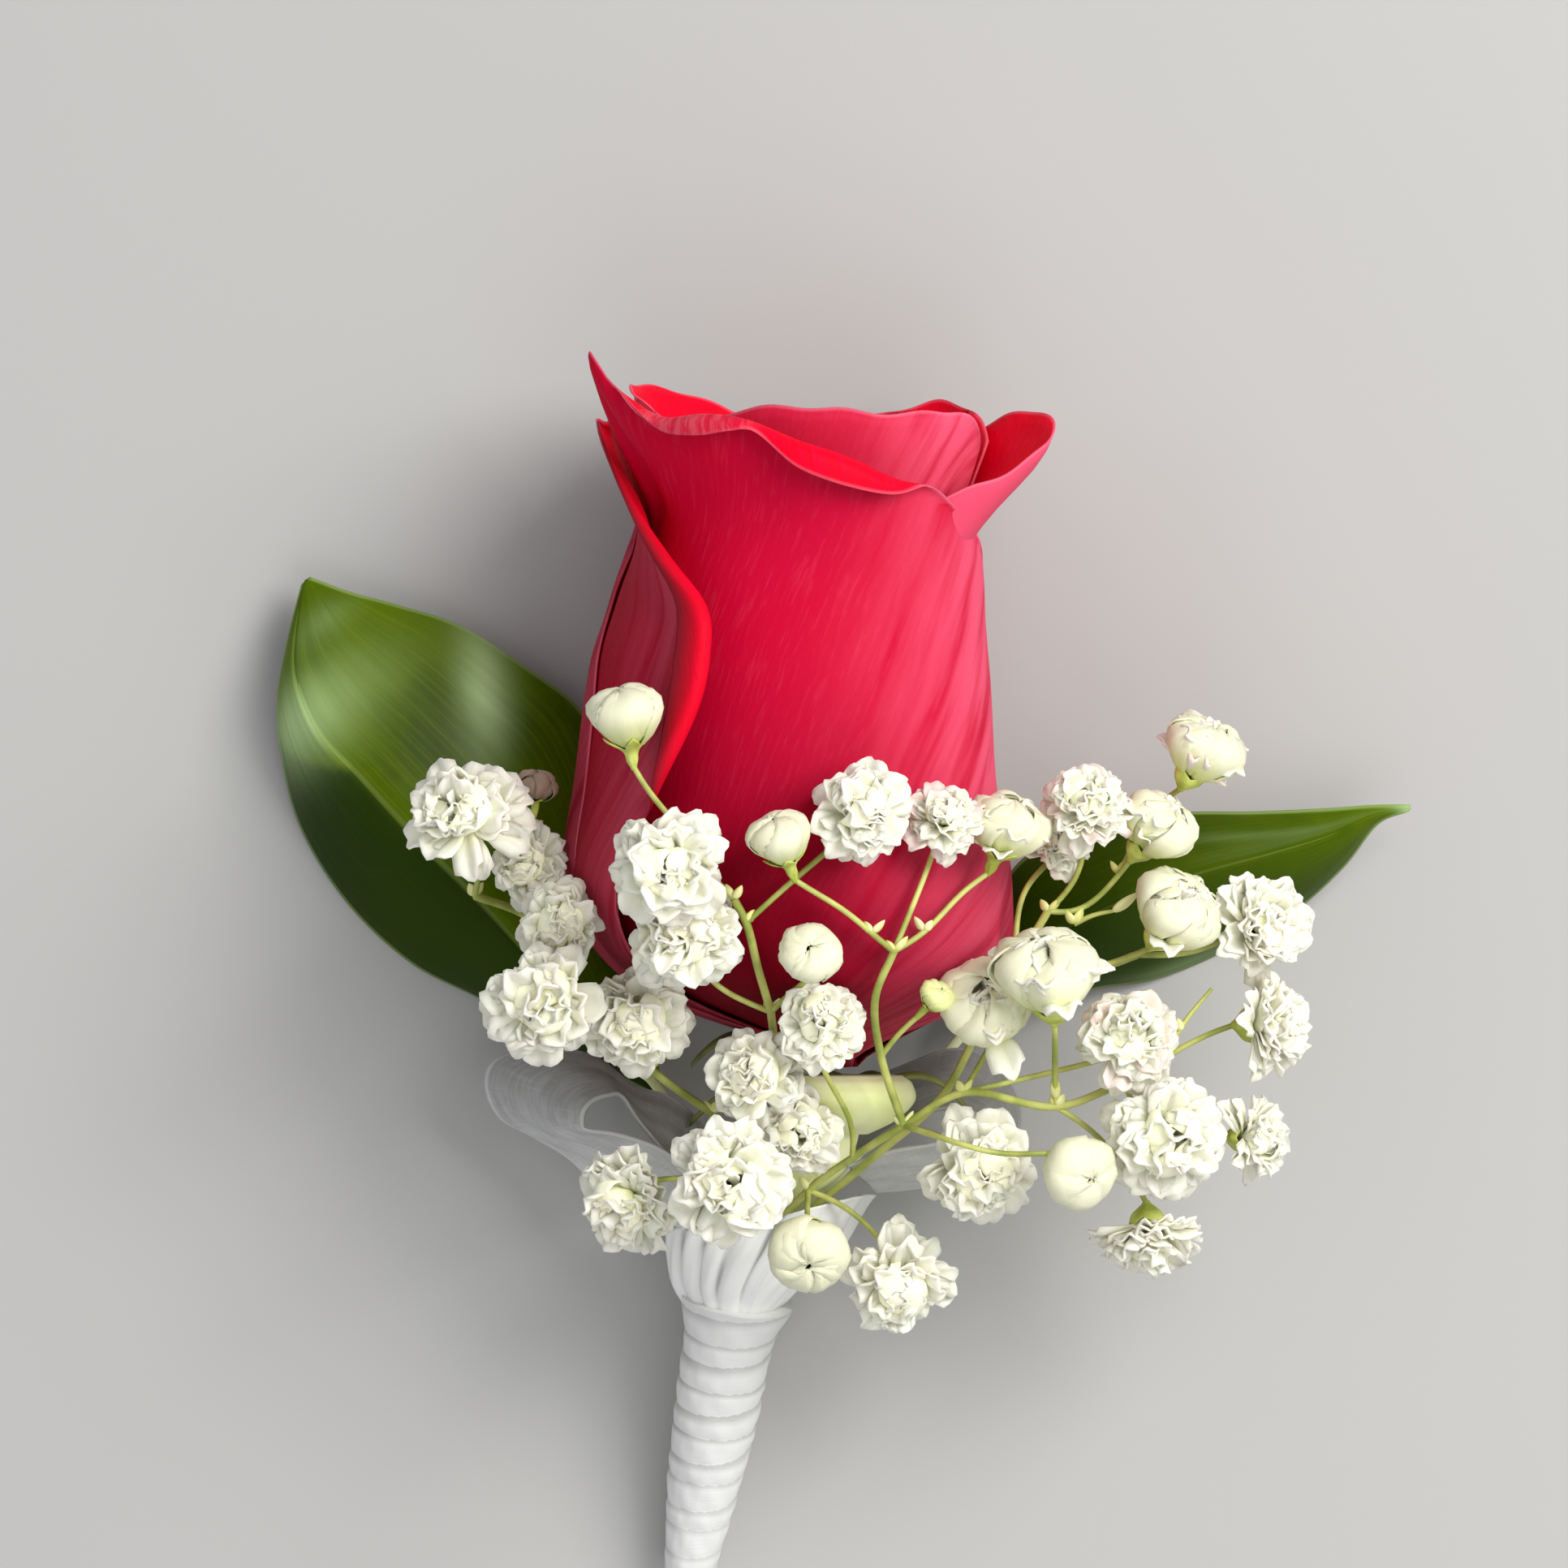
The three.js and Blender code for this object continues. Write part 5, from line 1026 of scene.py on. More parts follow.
# Each spray: its main stem and side stems, and the run of points from a fork to each head
SPRAYS = {
    "spray_left_stems": {
        "trunks": [
            [(898, 1540, 14), (884, 1450, 17), FORK_LEFT],
            [FORK_LEFT, FORK_LEFT_HIGH, (716, 1225, 19.4), (680, 1172, 17.4), (648, 1130, 15.6),
             (584, 1104, 17)],
        ],
        "heads": {
            8: [FORK_LEFT_HIGH], 5: [(716, 1225, 19.4)], 4: [(680, 1172, 17.4)], 3: [(648, 1130, 15.6)],
            2: [(584, 1104, 17)], 32: [(884, 1450, 17), (840, 1455, 18.6)],
            WITHERED_HEAD: [(648, 1130, 15.6), (652, 1060, 15.4), (660, 1005, 17)],
        },
        "bracts": [FORK_LEFT, FORK_LEFT_HIGH, (584, 1104, 17)],
    },
    "spray_centre_stems": {
        "trunks": [
            [(918, 1540, 14.4), (928, 1466, 17), (912, 1382, 21.4), (952, 1284, 26.4), FORK_FACE_LOW],
            [FORK_FACE_LOW, (934, 1190, 31.6), FORK_FACE, FORK_FACE_HIGH],
        ],
        "heads": {
            31: [(928, 1466, 17), (912, 1470, 22)], 34: [(928, 1466, 17)], 33: [(912, 1382, 21.4)],
            36: [FORK_FACE_LOW, (978, 1216, 31.6)], 7: [FORK_FACE_LOW, (865, 1205, 30.2)],
            6: [FORK_FACE_HIGH, (872, 1062, 34.8)], 1: [(872, 1062, 34.8), (835, 1012, 34.6)],
            10: [FORK_FACE, (980, 1080, 35.2)],
        },
        "bracts": [FORK_FACE_LOW, FORK_FACE, FORK_FACE_HIGH],
    },
    "spray_right_stems": {
        "trunks": [
            [(938, 1540, 14.4), FORK_LOW, (1050, 1427, 20), FORK_RIGHT, FORK_MIDDLE, FORK_FAR, FORK_END],
            [FORK_RIGHT, (1085, 1300, 26.4), (1078, 1225, 31), FORK_INNER],
        ],
        "heads": {
            30: [FORK_LOW, (994, 1490, 20)], 29: [FORK_LOW, (1042, 1482, 17.8)],
            35: [(1050, 1427, 20), (1054, 1380, 23), (1012, 1322, 25)],
            27: [FORK_RIGHT, (1160, 1398, 22.6)], 26: [FORK_RIGHT, (1176, 1404, 29.6), (1240, 1424, 29.4)],
            22: [(1085, 1300, 26.4), (1096, 1271, 27.4)], 21: [FORK_MIDDLE, (1204, 1312, 24.4)],
            20: [FORK_FAR, (1297, 1300, 26.6)], 28: [FORK_FAR, (1346, 1388, 24), (1395, 1450, 22.6)],
            23: [FORK_MIDDLE, (1330, 1312, 23.2)], 24: [FORK_END, (1382, 1362, 24.6)],
            19: [FORK_END, (1450, 1292, 24.4)], 25: [FORK_END, (1440, 1372, 22.6)],
            9: [FORK_INNER, (1072, 1150, 34.2), (1030, 1106, 35.4)], 11: [FORK_INNER, (1142, 1068, 31.8)],
            12: [FORK_INNER, (1142, 1150, 31.2), (1190, 1086, 28.6)],
        },
        "bracts": [FORK_RIGHT, FORK_MIDDLE, FORK_FAR, FORK_END, FORK_INNER, (1142, 1150, 31.2),
                   (1072, 1150, 34.2), FORK_LOW],
        "stubs": [[(1438, 1290, 24.6), (1462, 1252, 25), (1491, 1217, 25.2)]],
        "scales": [((1300, 1352, 25.4), (-0.1, 0.95, 0.3), 1.9, 0.8),
                   ((1452, 1270, 24.9), (-0.2, 0.9, 0.4), 1.1, 0.8)],
    },
    "spray_upper_right_stems": {
        "trunks": [
            [(956, 1540, 12.6), (1062, 1440, 15.6), (1160, 1352, 19.2), (1206, 1268, 21), FORK_UPPER,
             FORK_SIDE],
            [FORK_UPPER, (1355, 1190, 24), (1400, 1176, 22.8)],
        ],
        "heads": {
            13: [FORK_UPPER, (1256, 1090, 23)], 14: [FORK_SIDE, (1336, 1078, 25.2)],
            15: [FORK_SIDE, (1322, 1138, 24.2), FORK_TIP],
            16: [FORK_TIP, (1418, 1000, 20.6), (1434, 976, 21.4)], 17: [(1355, 1190, 24)],
            18: [(1400, 1176, 22.8), (1480, 1176, 21.6)],
        },
        "bracts": [FORK_SIDE, (1322, 1138, 24.2), FORK_TIP],
        "stubs": [[(1322, 1138, 24.2), (1346, 1127, 24), (1370, 1122, 24)]],
        "scales": [((1368, 1123, 24), (0.85, 0.5, 0.1), 2.6, 1.1)],
    },
}


def head_place(head):
    """Where a head is: its place, radius, facing, whether it is a bud, and its foot along its axis."""
    x, y, z, radius, *facing, kind = HEADS[head]
    bud = "bud" in kind
    return at(x, y, z), radius, unit(facing), bud, (BUD_FOOT if bud else HEAD_FOOT) * radius


def eased(run, passes=40):
    """The same run with its bends eased; its ends stay."""
    run = array(run)
    for _ in range(passes):
        run[1:-1] += 0.5 * ((run[:-2] + run[2:]) / 2 - run[1:-1])
    return run


def spray_runs(name):
    """Main stems and eased flower stalks of a spray, as runs of close points with their radii."""
    spray = SPRAYS[name]
    first, *others = (all_at(points) for points in spray["trunks"])
    runs = [(smooth_run([*bound_end(name), *first]), BOUND_RADIUS, TRUNK_RADIUS)]
    runs += [(smooth_run(points), TRUNK_RADIUS, TRUNK_RADIUS) for points in others]
    for head, points in spray["heads"].items():
        place, radius, facing, bud, foot = head_place(head)
        cup_foot = foot - SEAT_GAP - CUP_LENGTH
        below, inside = place + facing * (cup_foot - 0.9), place + facing * (cup_foot + 0.2)
        run = smooth_run([*all_at(points), below, inside])
        runs.append((eased(run), PEDICEL_RADIUS, PEDICEL_RADIUS * 0.95))
    for points in spray.get("stubs", []):
        runs.append((smooth_run(all_at(points)), PEDICEL_RADIUS, PEDICEL_RADIUS * 0.6))
    return runs


# The side of a closed head from its foot, in shares of its radius: [height, distance from the axis]
SHELL_SIDE = [[-0.4, 0.12], [0, 0.16], [0.3, 0.53], [0.78, 0.86]]


def cup_blade(head):
    """The green cup under a head, with five pointed teeth that press against its petals."""
    place, radius, facing, bud, foot = head_place(head)
    v, a = round_grid(linspace(0, 1, 12), 30)
    teeth = np.abs(((a * CUP_TEETH / (2 * pi)) % 1) - 0.5) * 2
    bottom = foot - SEAT_GAP - CUP_LENGTH
    if bud:
        height = lerp(bottom, foot + radius * (0.08 + 0.42 * teeth), v)
        snug = along(SHELL_SIDE, (height - foot) / radius) * radius + 0.14
        width = lerp(PEDICEL_RADIUS, snug, smoothstep(v, 0, 0.45))
    else:
        height = bottom + v * (CUP_LENGTH + 0.35 + 0.13 * radius * teeth)
        widest = max(0.62, 0.34 * radius)
        width = lerp(PEDICEL_RADIUS, widest, smoothstep(v, -0.1, 0.75)) + 0.08 * radius * v * v

    def ring(inset, raised):
        return stack([(width - inset) * cos(a), (width - inset) * sin(a), height + raised], axis=-1)

    uv = stack([a / (2 * pi), v], axis=-1)
    points, *others = sleeve(ring(0, 0), ring(CUP_WALL, 0.02), uv, {"reach": v})
    return turned(points, facing, place), *others


def bract(foot, direction, length, width):
    """A small plump scale or unopened bud on a stem."""
    v, a = round_grid(linspace(0, 1, 9), 10)
    swell = width / 2 * sin(pi * v ** 0.8) ** 0.75 + 0.02
    grid = stack([swell * cos(a), 0.6 * swell * sin(a) + 0.25 * width * v * v, length * v], axis=-1)
    points, faces = capped(grid, (0, 0, 0), (0, 0.25 * width, length))
    return turned(points, direction, foot), faces


def spray_bracts(name):
    """Plump scales at the forks, set on the nearest stem, and those with a place of their own."""
    spray = SPRAYS[name]
    stems = concatenate([run for run, _, _ in spray_runs(name)[1:]])
    made = []
    for k, fork in enumerate(all_at(spray["bracts"])):
        draw = np.random.default_rng(k + len(name))
        foot = stems[np.argmin(np.linalg.norm(stems - fork, axis=1))]
        for side in (-1, 1):
            lean = (side * draw.uniform(0.35, 0.8), draw.uniform(0.5, 1.0), draw.uniform(0.1, 0.5))
            made.append(bract(foot, lean, draw.uniform(1.0, 1.6), draw.uniform(0.6, 0.85)))
    made += [bract(at(*foot), *scale) for foot, *scale in spray.get("scales", [])]
    return mesh_object(name.replace("_stems", "_bracts"), BRACT_CREAM, *made)


def spray_pieces(name):
    """The stems, cups and scales of a spray."""
    cups = (cup_blade(head) for head in SPRAYS[name]["heads"])
    return [tubes(name.replace("_stems", "_tubes"), spray_runs(name), STEM_GREEN),
            mesh_object(name.replace("_stems", "_cups"), CUP_GREEN, *cups), spray_bracts(name)]


# Flower heads: petals set round an axis in a spiral, the outer ones leaning out and the inner ones upright

GOLDEN_ANGLE = 2.39996


def whorl_tree():
    """Geometry nodes: petals up an axis, each turned by the golden angle and less inclined than the last."""
    tree, given, result = new_tree("petal_whorl", "GeometryNodeTree", [
        ("Start", "Geometry"), ("Shapes", "Collection"), ("Petals", "Int", 30), ("Lean Out", "Float", 1.4),
        ("Lean In", "Float", 0.0), ("Size Out", "Float", 1.0), ("Size In", "Float", 1.0),
        ("Foot", "Float", 0.0), ("Rise", "Float", 0.0), ("Disorder", "Float", 0.2), ("Seed", "Int", 0),
        ("Finish", "Material"),
    ], [("Head", "Geometry")])
    index = output(tree, "GeometryNodeInputIndex")
    layer = index / (given["Petals"] - 1.0)

    def jitter(offset, size):
        return output(tree, "FunctionNodeRandomValue", {
            2: given["Disorder"] * -size, 3: given["Disorder"] * size, "Seed": given["Seed"] + float(offset),
        }, 1, data_type="FLOAT")

    spot = vector(tree, 0, 0, lerp(given["Foot"], given["Foot"] + given["Rise"], layer))
    points = output(tree, "GeometryNodePoints", {"Count": given["Petals"], "Position": spot})
    uprightness = 1.0 - (1.0 - layer) ** 0.6
    lean = lerp(given["Lean Out"], given["Lean In"], uprightness) + jitter(1, 1.0)
    spin = index * GOLDEN_ANGLE + jitter(2, 1.4)
    turn = output(tree, "FunctionNodeEulerToRotation", {0: vector(tree, jitter(3, 1.4), lean, spin)})
    size = lerp(given["Size Out"], given["Size In"], layer) * (jitter(4, 0.6) + 1.0)
    shapes = output(tree, "GeometryNodeCollectionInfo", {
        "Collection": given["Shapes"], "Separate Children": True, "Reset Children": True})
    pick = output(tree, "FunctionNodeRandomValue", {4: 0, 5: 3, "Seed": given["Seed"]}, 2, data_type="INT")
    copies = output(tree, "GeometryNodeInstanceOnPoints", {
        "Points": points, "Instance": shapes, "Pick Instance": True, "Instance Index": pick,
        "Rotation": turn, "Scale": size})
    return ended(tree, copies, given, result)


WHORL = whorl_tree()


def open_petal(width, bend, cup, ruffle, phase):
    """A petal of unit length that grows along +Z and bends to +X, with a soft notch and a ruffled tip."""
    shares, levels = linspace(0, 1, 9), array([0, 0.36, 0.66, 0.87, 1])
    s, v = meshgrid(shares, levels)
    side = 2 * s - 1
    half = width * (0.18 + 0.82 * smoothstep(v, 0, 0.78))
    notch = 0.06 * np.exp(-((side - 0.15 * sin(phase)) / 0.22) ** 2) * smoothstep(v, 0.65, 1)
    length = v * (1 - 0.17 * np.abs(side) ** 2.6) - notch
    ruffles = ruffle * sin(5.2 * side + phase) * smoothstep(v, 0.35, 1)
    x = 0.5 * bend * length**2 - cup * side**2 * half + ruffles
    z = length - 0.1 * bend**2 * length**3
    return blade(stack([x, side * half, z], axis=-1), 0.035 + 0 * v, shares, levels, {"reach": v})


# Outline of a closed petal from its foot: [share of its length, distance from the axis, height]
SHELL = [[0, 0.1, 0], [0.25, 0.52, 0.3], [0.5, 0.85, 0.78], [0.72, 0.93, 1.17], [0.86, 0.74, 1.43],
         [0.95, 0.38, 1.54], [1, 0, 1.57]]


def shell_petal(spread, drop, wind, ruffle, phase):
    """A broad petal that wraps round the axis of a bud and closes over its top."""
    shares, levels = linspace(0, 1, 9), array([0, 0.16, 0.33, 0.5, 0.65, 0.78, 0.88, 0.95, 1])
    s, v = meshgrid(shares, levels)
    side = 2 * s - 1
    climb = v * (1 - drop * side**2)
    turn = side * spread * lerp(0.55, 1, smoothstep(v, 0, 0.5)) + wind * v**3
    radius = along(SHELL, climb) - 0.05 * side**2 + ruffle * sin(3.4 * side + phase) * smoothstep(v, 0.5, 1)
    radius = maximum(0, radius + 0.03 * cos(2.5 * pi * side + phase) * sin(pi * v))
    height = along(SHELL, climb, 2) + 0.04 * sin(4 * side + phase) * smoothstep(v, 0.6, 1)
    grid = stack([radius * cos(turn), radius * sin(turn), height], axis=-1)
    return blade(grid, 0.04 + 0 * v, shares, levels, {"reach": v})


def petal_shapes(name, petal, rows):
    """A collection of petal shapes for the whorl to pick from, each made from a row of numbers."""
    shapes = bpy.data.collections.new(name)
    bpy.context.scene.collection.children.link(shapes)
    for k, row in enumerate(rows):
        points, *others = petal(*row)
        piece = mesh_object("%s_%d" % (name, k), IVORY, (points / MM, *others))
        bpy.context.scene.collection.objects.unlink(piece)
        shapes.objects.link(piece)
    return shapes


OPEN_SHAPES = petal_shapes("open_petal", open_petal, [
    (0.29, 0.5, 0.25, 0.07, 0.0), (0.25, 1.0, 0.10, 0.09, 1.2), (0.32, 0.15, 0.35, 0.07, 2.6),
    (0.24, -0.5, 0.15, 0.09, 4.0)])
SHELL_SHAPES = petal_shapes("shell_petal", shell_petal, [
    (1.05, 0.03, 0.5, 0.02, 0.0), (0.90, 0.05, 0.7, 0.03, 1.0), (1.15, 0.02, 0.4, 0.02, 2.2),
    (0.80, 0.06, 0.8, 0.04, 3.5)])
CUP_SHAPES = petal_shapes("cup_petal", shell_petal, [
    (0.80, 0.09, 0.30, 0.045, 0.0), (0.70, 0.11, 0.45, 0.06, 1.0), (0.90, 0.08, 0.25, 0.04, 2.2),
    (0.64, 0.13, 0.50, 0.07, 3.5)])

# Settings of the whorls, in the order of WHORL_INPUTS. An open head is a dome of ruffled petals round a
# closed core; a half-open one is a cup of closed petals with a ruffled centre and loose petals outside.
WHORL_INPUTS = ("Shapes", "Petals", "Lean Out", "Lean In", "Size Out", "Size In", "Foot", "Rise", "Disorder")
WHORLS = {
    "open": (OPEN_SHAPES, 50, 1.45, 0.0, 1.02, 1.0, -0.42, 0.04, 0.26),
    "fan": (OPEN_SHAPES, 46, 1.0, 0.0, 1.3, 1.25, -0.7, 0.05, 0.2),
    "core": (SHELL_SHAPES, 6, 0.1, 0.0, 0.54, 0.42, -0.42, 0.14, 0.2),
    "tinged": (OPEN_SHAPES, 7, 1.3, 0.9, 1.08, 1.04, -0.42, 0.04, 0.26),
    "cup": (CUP_SHAPES, 14, 0.10, 0.0, 1.0, 0.88, BUD_FOOT, 0.2, 0.1),
    "centre": (OPEN_SHAPES, 14, 0.34, 0.0, 1.62, 1.6, BUD_FOOT, 0.0, 0.1),
    "loose": (OPEN_SHAPES, 5, 0.85, 0.45, 1.25, 1.3, -0.66, 0.05, 0.3),
    "bud": (SHELL_SHAPES, 11, 0.06, 0.0, 1.0, 0.84, BUD_FOOT, 0.26, 0.05),
    "withered": (SHELL_SHAPES, 11, 0.06, 0.0, 1.0, 0.84, BUD_FOOT, 0.26, 0.2),
}


def head_whorls(kind):
    """The whorls of a head: the end of the piece's name, its settings, its finish and its own seed."""
    if kind == "withered bud":
        return [("petals", "withered", WITHERED, 0)]
    if "half" in kind:
        return [("petals", "cup", BUD_IVORY, 0), ("centre", "centre", IVORY, 2),
                ("loose", "loose", BLUSHED if "tinged" in kind else IVORY, 6)]
    if "bud" in kind:
        return [("petals", "bud", BUD_GREEN if "green" in kind else BUD_IVORY, 0)]
    full = [("core", "core", HEART_IVORY, 3), ("petals", "fan" if kind == "fan" else "open", IVORY, 0)]
    return full + ([("tinged", "tinged", BLUSHED, 7)] if "tinged" in kind else [])


def flower_head(head):
    """The whorls of a head as plain pieces, turned to the way the head faces."""
    place, radius, facing, bud, foot = head_place(head)
    made = []
    for end, settings, finish, seed in head_whorls(HEADS[head][-1]):
        name = HEAD_NAMES[head].replace("_bud", "") + "_" + end
        start = mesh_object(name + "_start", finish, ([(0, 0, 0)], []))
        inputs = dict(zip(WHORL_INPUTS, WHORLS[settings]))
        inputs["Seed"] = SEED_STEP * (head - 1) + seed
        piece = made_by(WHORL, name, start, {**inputs, "Finish": finish})
        flat = np.empty(len(piece.data.vertices) * 3)
        piece.data.vertices.foreach_get("co", flat)
        placed = turned(flat.reshape(-1, 3) * radius, facing, place) * MM
        piece.data.vertices.foreach_set("co", placed.ravel())
        piece.data.update()
        made.append(piece)
    return made


# Ribbon bow: each loop is a strip between a near edge and a far edge

LEFT_LOOP = [
    ((874, 1478, 17.2), (842, 1518, 15.6)), ((846, 1440, 16.4), (792, 1492, 13.6)),
    ((808, 1414, 15.2), (742, 1470, 11.8)), ((756, 1398, 14.2), (700, 1432, 10.4)),
    ((722, 1393, 13.6), (655, 1405, 9.6)), ((718, 1384, 13.4), (612, 1379, 9.2)),
    ((722, 1370, 13.2), (594, 1340, 9.2)), ((734, 1358, 13), (607, 1309, 9.2)),
    ((750, 1353, 12.8), (660, 1294, 9)), ((765, 1355, 12.4), (728, 1304, 8.8)),
    ((786, 1384, 12.2), (780, 1342, 8.8)), ((810, 1416, 12.2), (826, 1356, 9)),
    ((838, 1452, 12), (866, 1392, 9.4)), ((852, 1496, 11.4), (884, 1452, 9.6)),
]
RIGHT_LOOP = [
    ((1044, 1438, 14.4), (1080, 1472, 11.8)), ((1100, 1420, 14), (1124, 1468, 10.8)),
    ((1148, 1411, 13.4), (1176, 1462, 10.2)), ((1186, 1404, 13), (1232, 1440, 9.8)),
    ((1204, 1392, 12.8), (1260, 1396, 9.6)), ((1206, 1380, 12.6), (1252, 1346, 9.4)),
    ((1190, 1372, 12.4), (1222, 1308, 9.2)), ((1160, 1370, 12), (1176, 1296, 8.8)),
    ((1120, 1384, 11), (1110, 1318, 7.2)), ((1076, 1412, 9.8), (1046, 1352, 6.4)),
    ((1030, 1456, 10), (1004, 1412, 7.4)),
]


def ribbon_loop(name, stations):
    shares, levels = linspace(0, 1, LOOP_COLUMNS), linspace(0, 1, LOOP_ROWS)
    near = through_stations(stations, 0, levels)[:, None]
    far = through_stations(stations, 1, levels)[:, None]
    s, v = meshgrid(shares, levels)
    grid = lerp(near, far, shares[None, :, None])
    crease = 0.10 * sin(7 * s + 23 * v) * sin(pi * s) + 0.06 * sin(17 * s - 31 * v)
    grid = grid + grid_normals(grid) * crease[..., None]
    length = run_length(grid, 0)[:, LOOP_COLUMNS // 2]
    # Painted light on the strand near the gather and painted shadow on the strand that turns away.
    return mesh_object(name, SILVER, blade(grid, RIBBON_THICKNESS + 0 * v, shares, length, {
        "pale": 0.22 * (1 - smoothstep(v, 0.2, 0.45)), "shadow": 0.42 * smoothstep(v, 0.25, 0.5)}))


# Pleated gather: a fluted funnel that rises from the top of the sleeve, in rows of its centre, half width,
# half depth and how deep its flutes are
GATHER = [
    (901, 1634, 8.8, 3.1, 3.1, 0.1), (904, 1618, 9.2, 3.6, 3.6, 0.3), (908, 1590, 9.8, 4.75, 4.6, 0.8),
    (926, 1550, 10.6, 6.2, 5.8, 1), (950, 1516, 11.2, 7.8, 6.6, 1),
]
GATHER_RIM_RISE = 2.6
GATHER_RIM_LEAN = 0.3


def ribbon_gather():
    v, a = round_grid(linspace(0, 1, 44), PLEATS * 16)
    table = [[k / (len(GATHER) - 1), *at(*row[:3]), *row[3:]] for k, row in enumerate(GATHER)]
    x, y, z, wide, deep, flute = (along(table, v, c) for c in range(1, 7))
    wander = 0.35 * sin(2 * a + 1.3) + 0.25 * sin(3 * a + 0.4)
    phase = (a * PLEATS / (2 * pi) + wander) % 1
    fold = 1 - 2 * np.abs(np.abs(2 * phase - 1)) ** 2.4
    fold = fold * PLEAT_DEPTH * flute + 0.1 * sin(23 * a + 9 * v) * flute
    rise = GATHER_RIM_RISE * maximum(0, cos(a - GATHER_RIM_LEAN)) * smoothstep(v, 0.75, 1)
    rise = rise - (0.45 * sin(a) - 0.5 * cos(a)) * (1 - smoothstep(v, 0, 0.4))

    def ring(inset):
        wall = fold - inset
        return stack([x + (wide + wall) * cos(a), y + rise, z + (deep + wall) * sin(a)], axis=-1)

    low_side = smoothstep(-cos(a), 0.55, 0.95) * (1 - smoothstep(v, 0.2, 0.6)) * sin(a).clip(0)
    shades = {"pale": 0.95 + 0 * v, "shadow": 0.9 * smoothstep(-fold, 0.12, 0.45) * flute + 0.4 * low_side}
    uv = stack([a / (2 * pi) * 5 % 1, v * 10], axis=-1)
    return mesh_object("ribbon_gather_pleats", SILVER, sleeve(ring(0), ring(RIBBON_THICKNESS), uv, shades))


def ribbon_wrap():
    """Overlapping turns: each turn is a shallow cone, so that its upper edge steps over the one above."""
    d, a = round_grid(linspace(0, WRAP_LENGTH, 230), 72)
    turns = (d + 0.22 * sin(1.7 * d + 0.5) - 0.4 * sin(a)) / WRAP_PITCH - a / (2 * pi)
    phase = turns % 1
    uneven = 0.5 + 0.5 * sin(12.9898 * np.floor(turns))
    step = (0.09 + 0.07 * uneven) * sin(pi * phase ** 0.8) ** 0.7
    crinkle = 0.05 * sin(5 * a + 1.5 * d) * sin(0.9 * d + 2 * a)
    crinkle += 0.02 * sin(17 * a + 40 * uneven) * sin(pi * phase)
    sideways = cos(a) ** 2
    radius = lerp(along(WRAP_RADIUS, d), along(WRAP_WIDTH, d), sideways) + step + crinkle
    radius = radius * lerp(0.9, 1, smoothstep(WRAP_LENGTH - d, 0, 0.5))
    outer = wrap_point(d, np.degrees(a), radius)
    inside = lerp(2.62, 1.86, smoothstep(d, 5, 7.5))
    inside = minimum(inside, lerp(inside, along(WRAP_WIDTH, d) - 0.12, sideways))
    inner = wrap_point(d, np.degrees(a), inside)
    outer[..., 2] = maximum(outer[..., 2], 0)
    shadow = lerp(0.30, 0.48, uneven) * (1 - smoothstep(phase, 0.01, 0.42)) ** 1.5
    shades = {"pale": 0.75 + 0 * d, "shadow": shadow}
    uv = stack([0.1 + 0.8 * phase, a / (2 * pi) * 20], axis=-1)
    return mesh_object("ribbon_wrap_turns", SILVER, sleeve(outer, inner, uv, shades))


# Stage: pale floor, soft lights and the camera that looks straight down

CAMERA_DISTANCE = 1.2
CAMERA_PLANE = 20
SENSOR = 36
FLOOR_REACH = 1500
FLOOR_DROP = 0.00005
LIGHT_TARGET = (0.0, 0.0, 0.02)
SKY_COLOUR = (0.95, 0.97, 1.0, 1)
SKY_STRENGTH = 0.50


def stage():
    finish = Finish("pale_floor", {"Roughness": 0.85})
    colour = mixed(finish.place.noise(6.0, 3.0), (0.42, 0.415, 0.405), (0.45, 0.445, 0.435))
    corners = [(FLOOR_REACH * x, FLOOR_REACH * y, 0) for x, y in ((-1, -1), (1, -1), (1, 1), (-1, 1))]
    floor = mesh_object("pale_floor", finish.done(colour), (corners, [(0, 1, 2, 3)]))
    floor.location.z = -FLOOR_DROP


def light(name, place, energy, size, colour):
    data = bpy.data.lights.new(name, "AREA")
    data.energy = energy
    data.size = size
    data.color = colour
    lamp = linked_object(name, data)
    lamp.location = place
    lamp.rotation_euler = (Vector(LIGHT_TARGET) - Vector(place)).to_track_quat("-Z", "Y").to_euler()


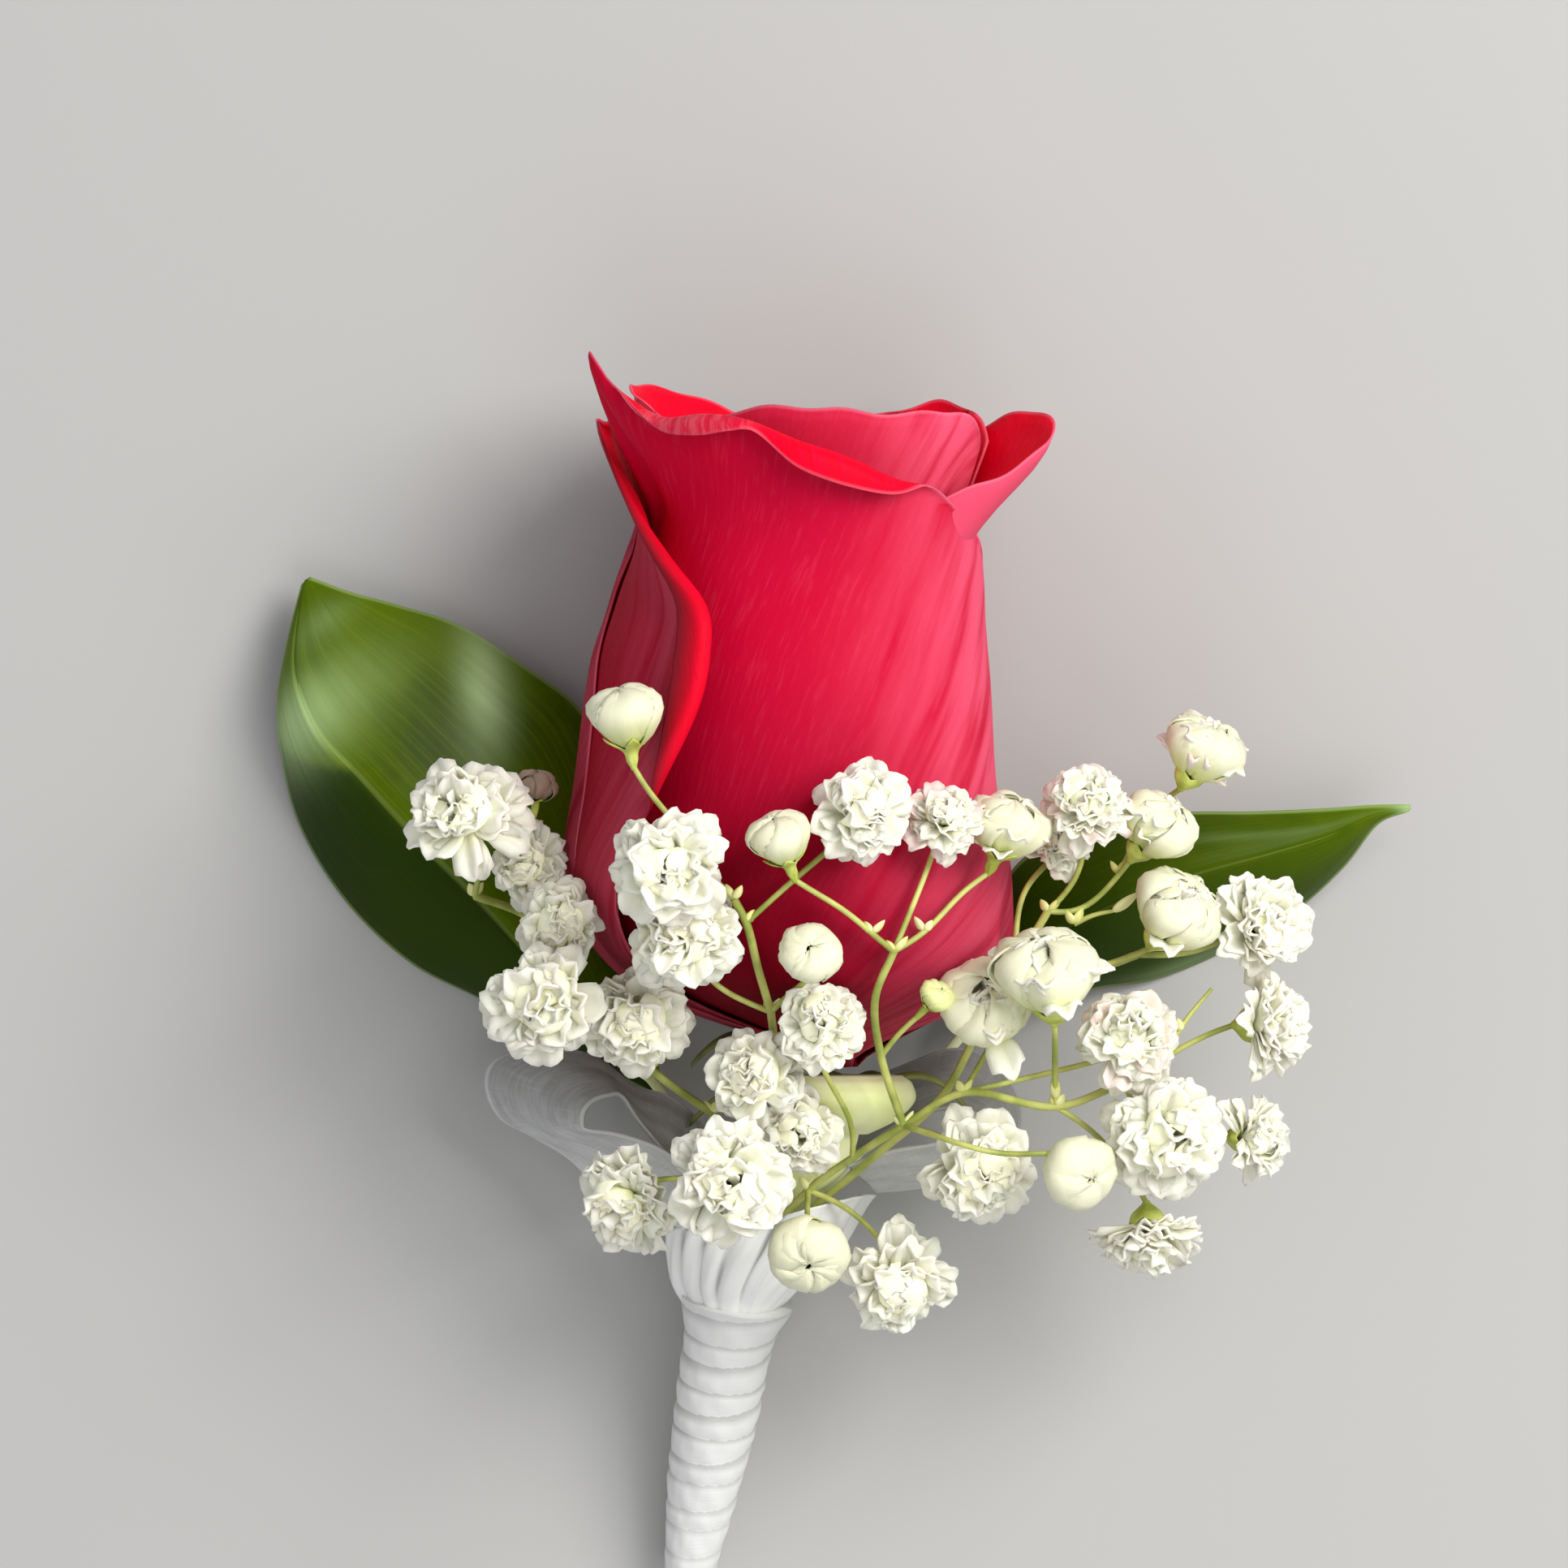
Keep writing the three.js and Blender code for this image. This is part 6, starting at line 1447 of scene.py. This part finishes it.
def lights():
    light("key_upper_right", (0.32, 0.21, 0.48), 3.8, 0.36, (1.0, 0.985, 0.96))
    light("fill_left", (-0.45, -0.05, 0.35), 0.24, 0.4, (0.95, 0.97, 1.0))
    light("front_soft", (0.10, -0.25, 0.60), 0.85, 0.4, (1.0, 1.0, 1.0))
    world = bpy.data.worlds.new("studio")
    world.use_nodes = True
    sky = world.node_tree.nodes["Background"].inputs
    sky["Color"].default_value = SKY_COLOUR
    sky["Strength"].default_value = SKY_STRENGTH
    bpy.context.scene.world = world
    bpy.context.scene.view_settings.view_transform = "Standard"


def camera():
    centre = at(IMAGE_POINTS / 2, IMAGE_POINTS / 2, CAMERA_PLANE) * MM
    data = bpy.data.cameras.new("camera")
    data.sensor_width = SENSOR
    data.lens = SENSOR * CAMERA_DISTANCE / (IMAGE_POINTS * MM_PER_POINT * MM)
    data.clip_end = 10
    eye = linked_object("camera", data)
    eye.location = (centre[0], centre[1], centre[2] + CAMERA_DISTANCE)
    bpy.context.scene.camera = eye


# Assembly

def dress(pieces, slot, node):
    for piece in pieces:
        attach(piece, "root")
        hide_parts(node)


camera()
stage()
lights()
dress([rose_bloom(), rose_core()], "rose_petal", "rose_petals")
dress([rose_hip(), rose_stem(), rose_sepals()], "rose_green", "rose_hip_and_stem")
dress(leaf("leaf_left", LEFT_LEAF, LEFT_STALK, LEFT_SHADING), "leaf", "leaf_left")
dress(leaf("leaf_right", RIGHT_LEAF, RIGHT_STALK, RIGHT_SHADING), "leaf", "leaf_right")
for spray_name in SPRAYS:
    dress(spray_pieces(spray_name), "spray_stem", spray_name)
for head, head_name in HEAD_NAMES.items():
    dress(flower_head(head), "withered" if head == WITHERED_HEAD else "flower", head_name)
for shapes in (OPEN_SHAPES, SHELL_SHAPES, CUP_SHAPES):
    for pattern in list(shapes.objects):
        bpy.data.objects.remove(pattern)
    bpy.data.collections.remove(shapes)
dress([ribbon_loop("ribbon_loop_left_strip", LEFT_LOOP)], "ribbon", "ribbon_loop_left")
dress([ribbon_loop("ribbon_loop_right_strip", RIGHT_LOOP)], "ribbon", "ribbon_loop_right")
dress([ribbon_gather()], "ribbon", "ribbon_gather")
dress([ribbon_wrap()], "ribbon", "ribbon_wrap")
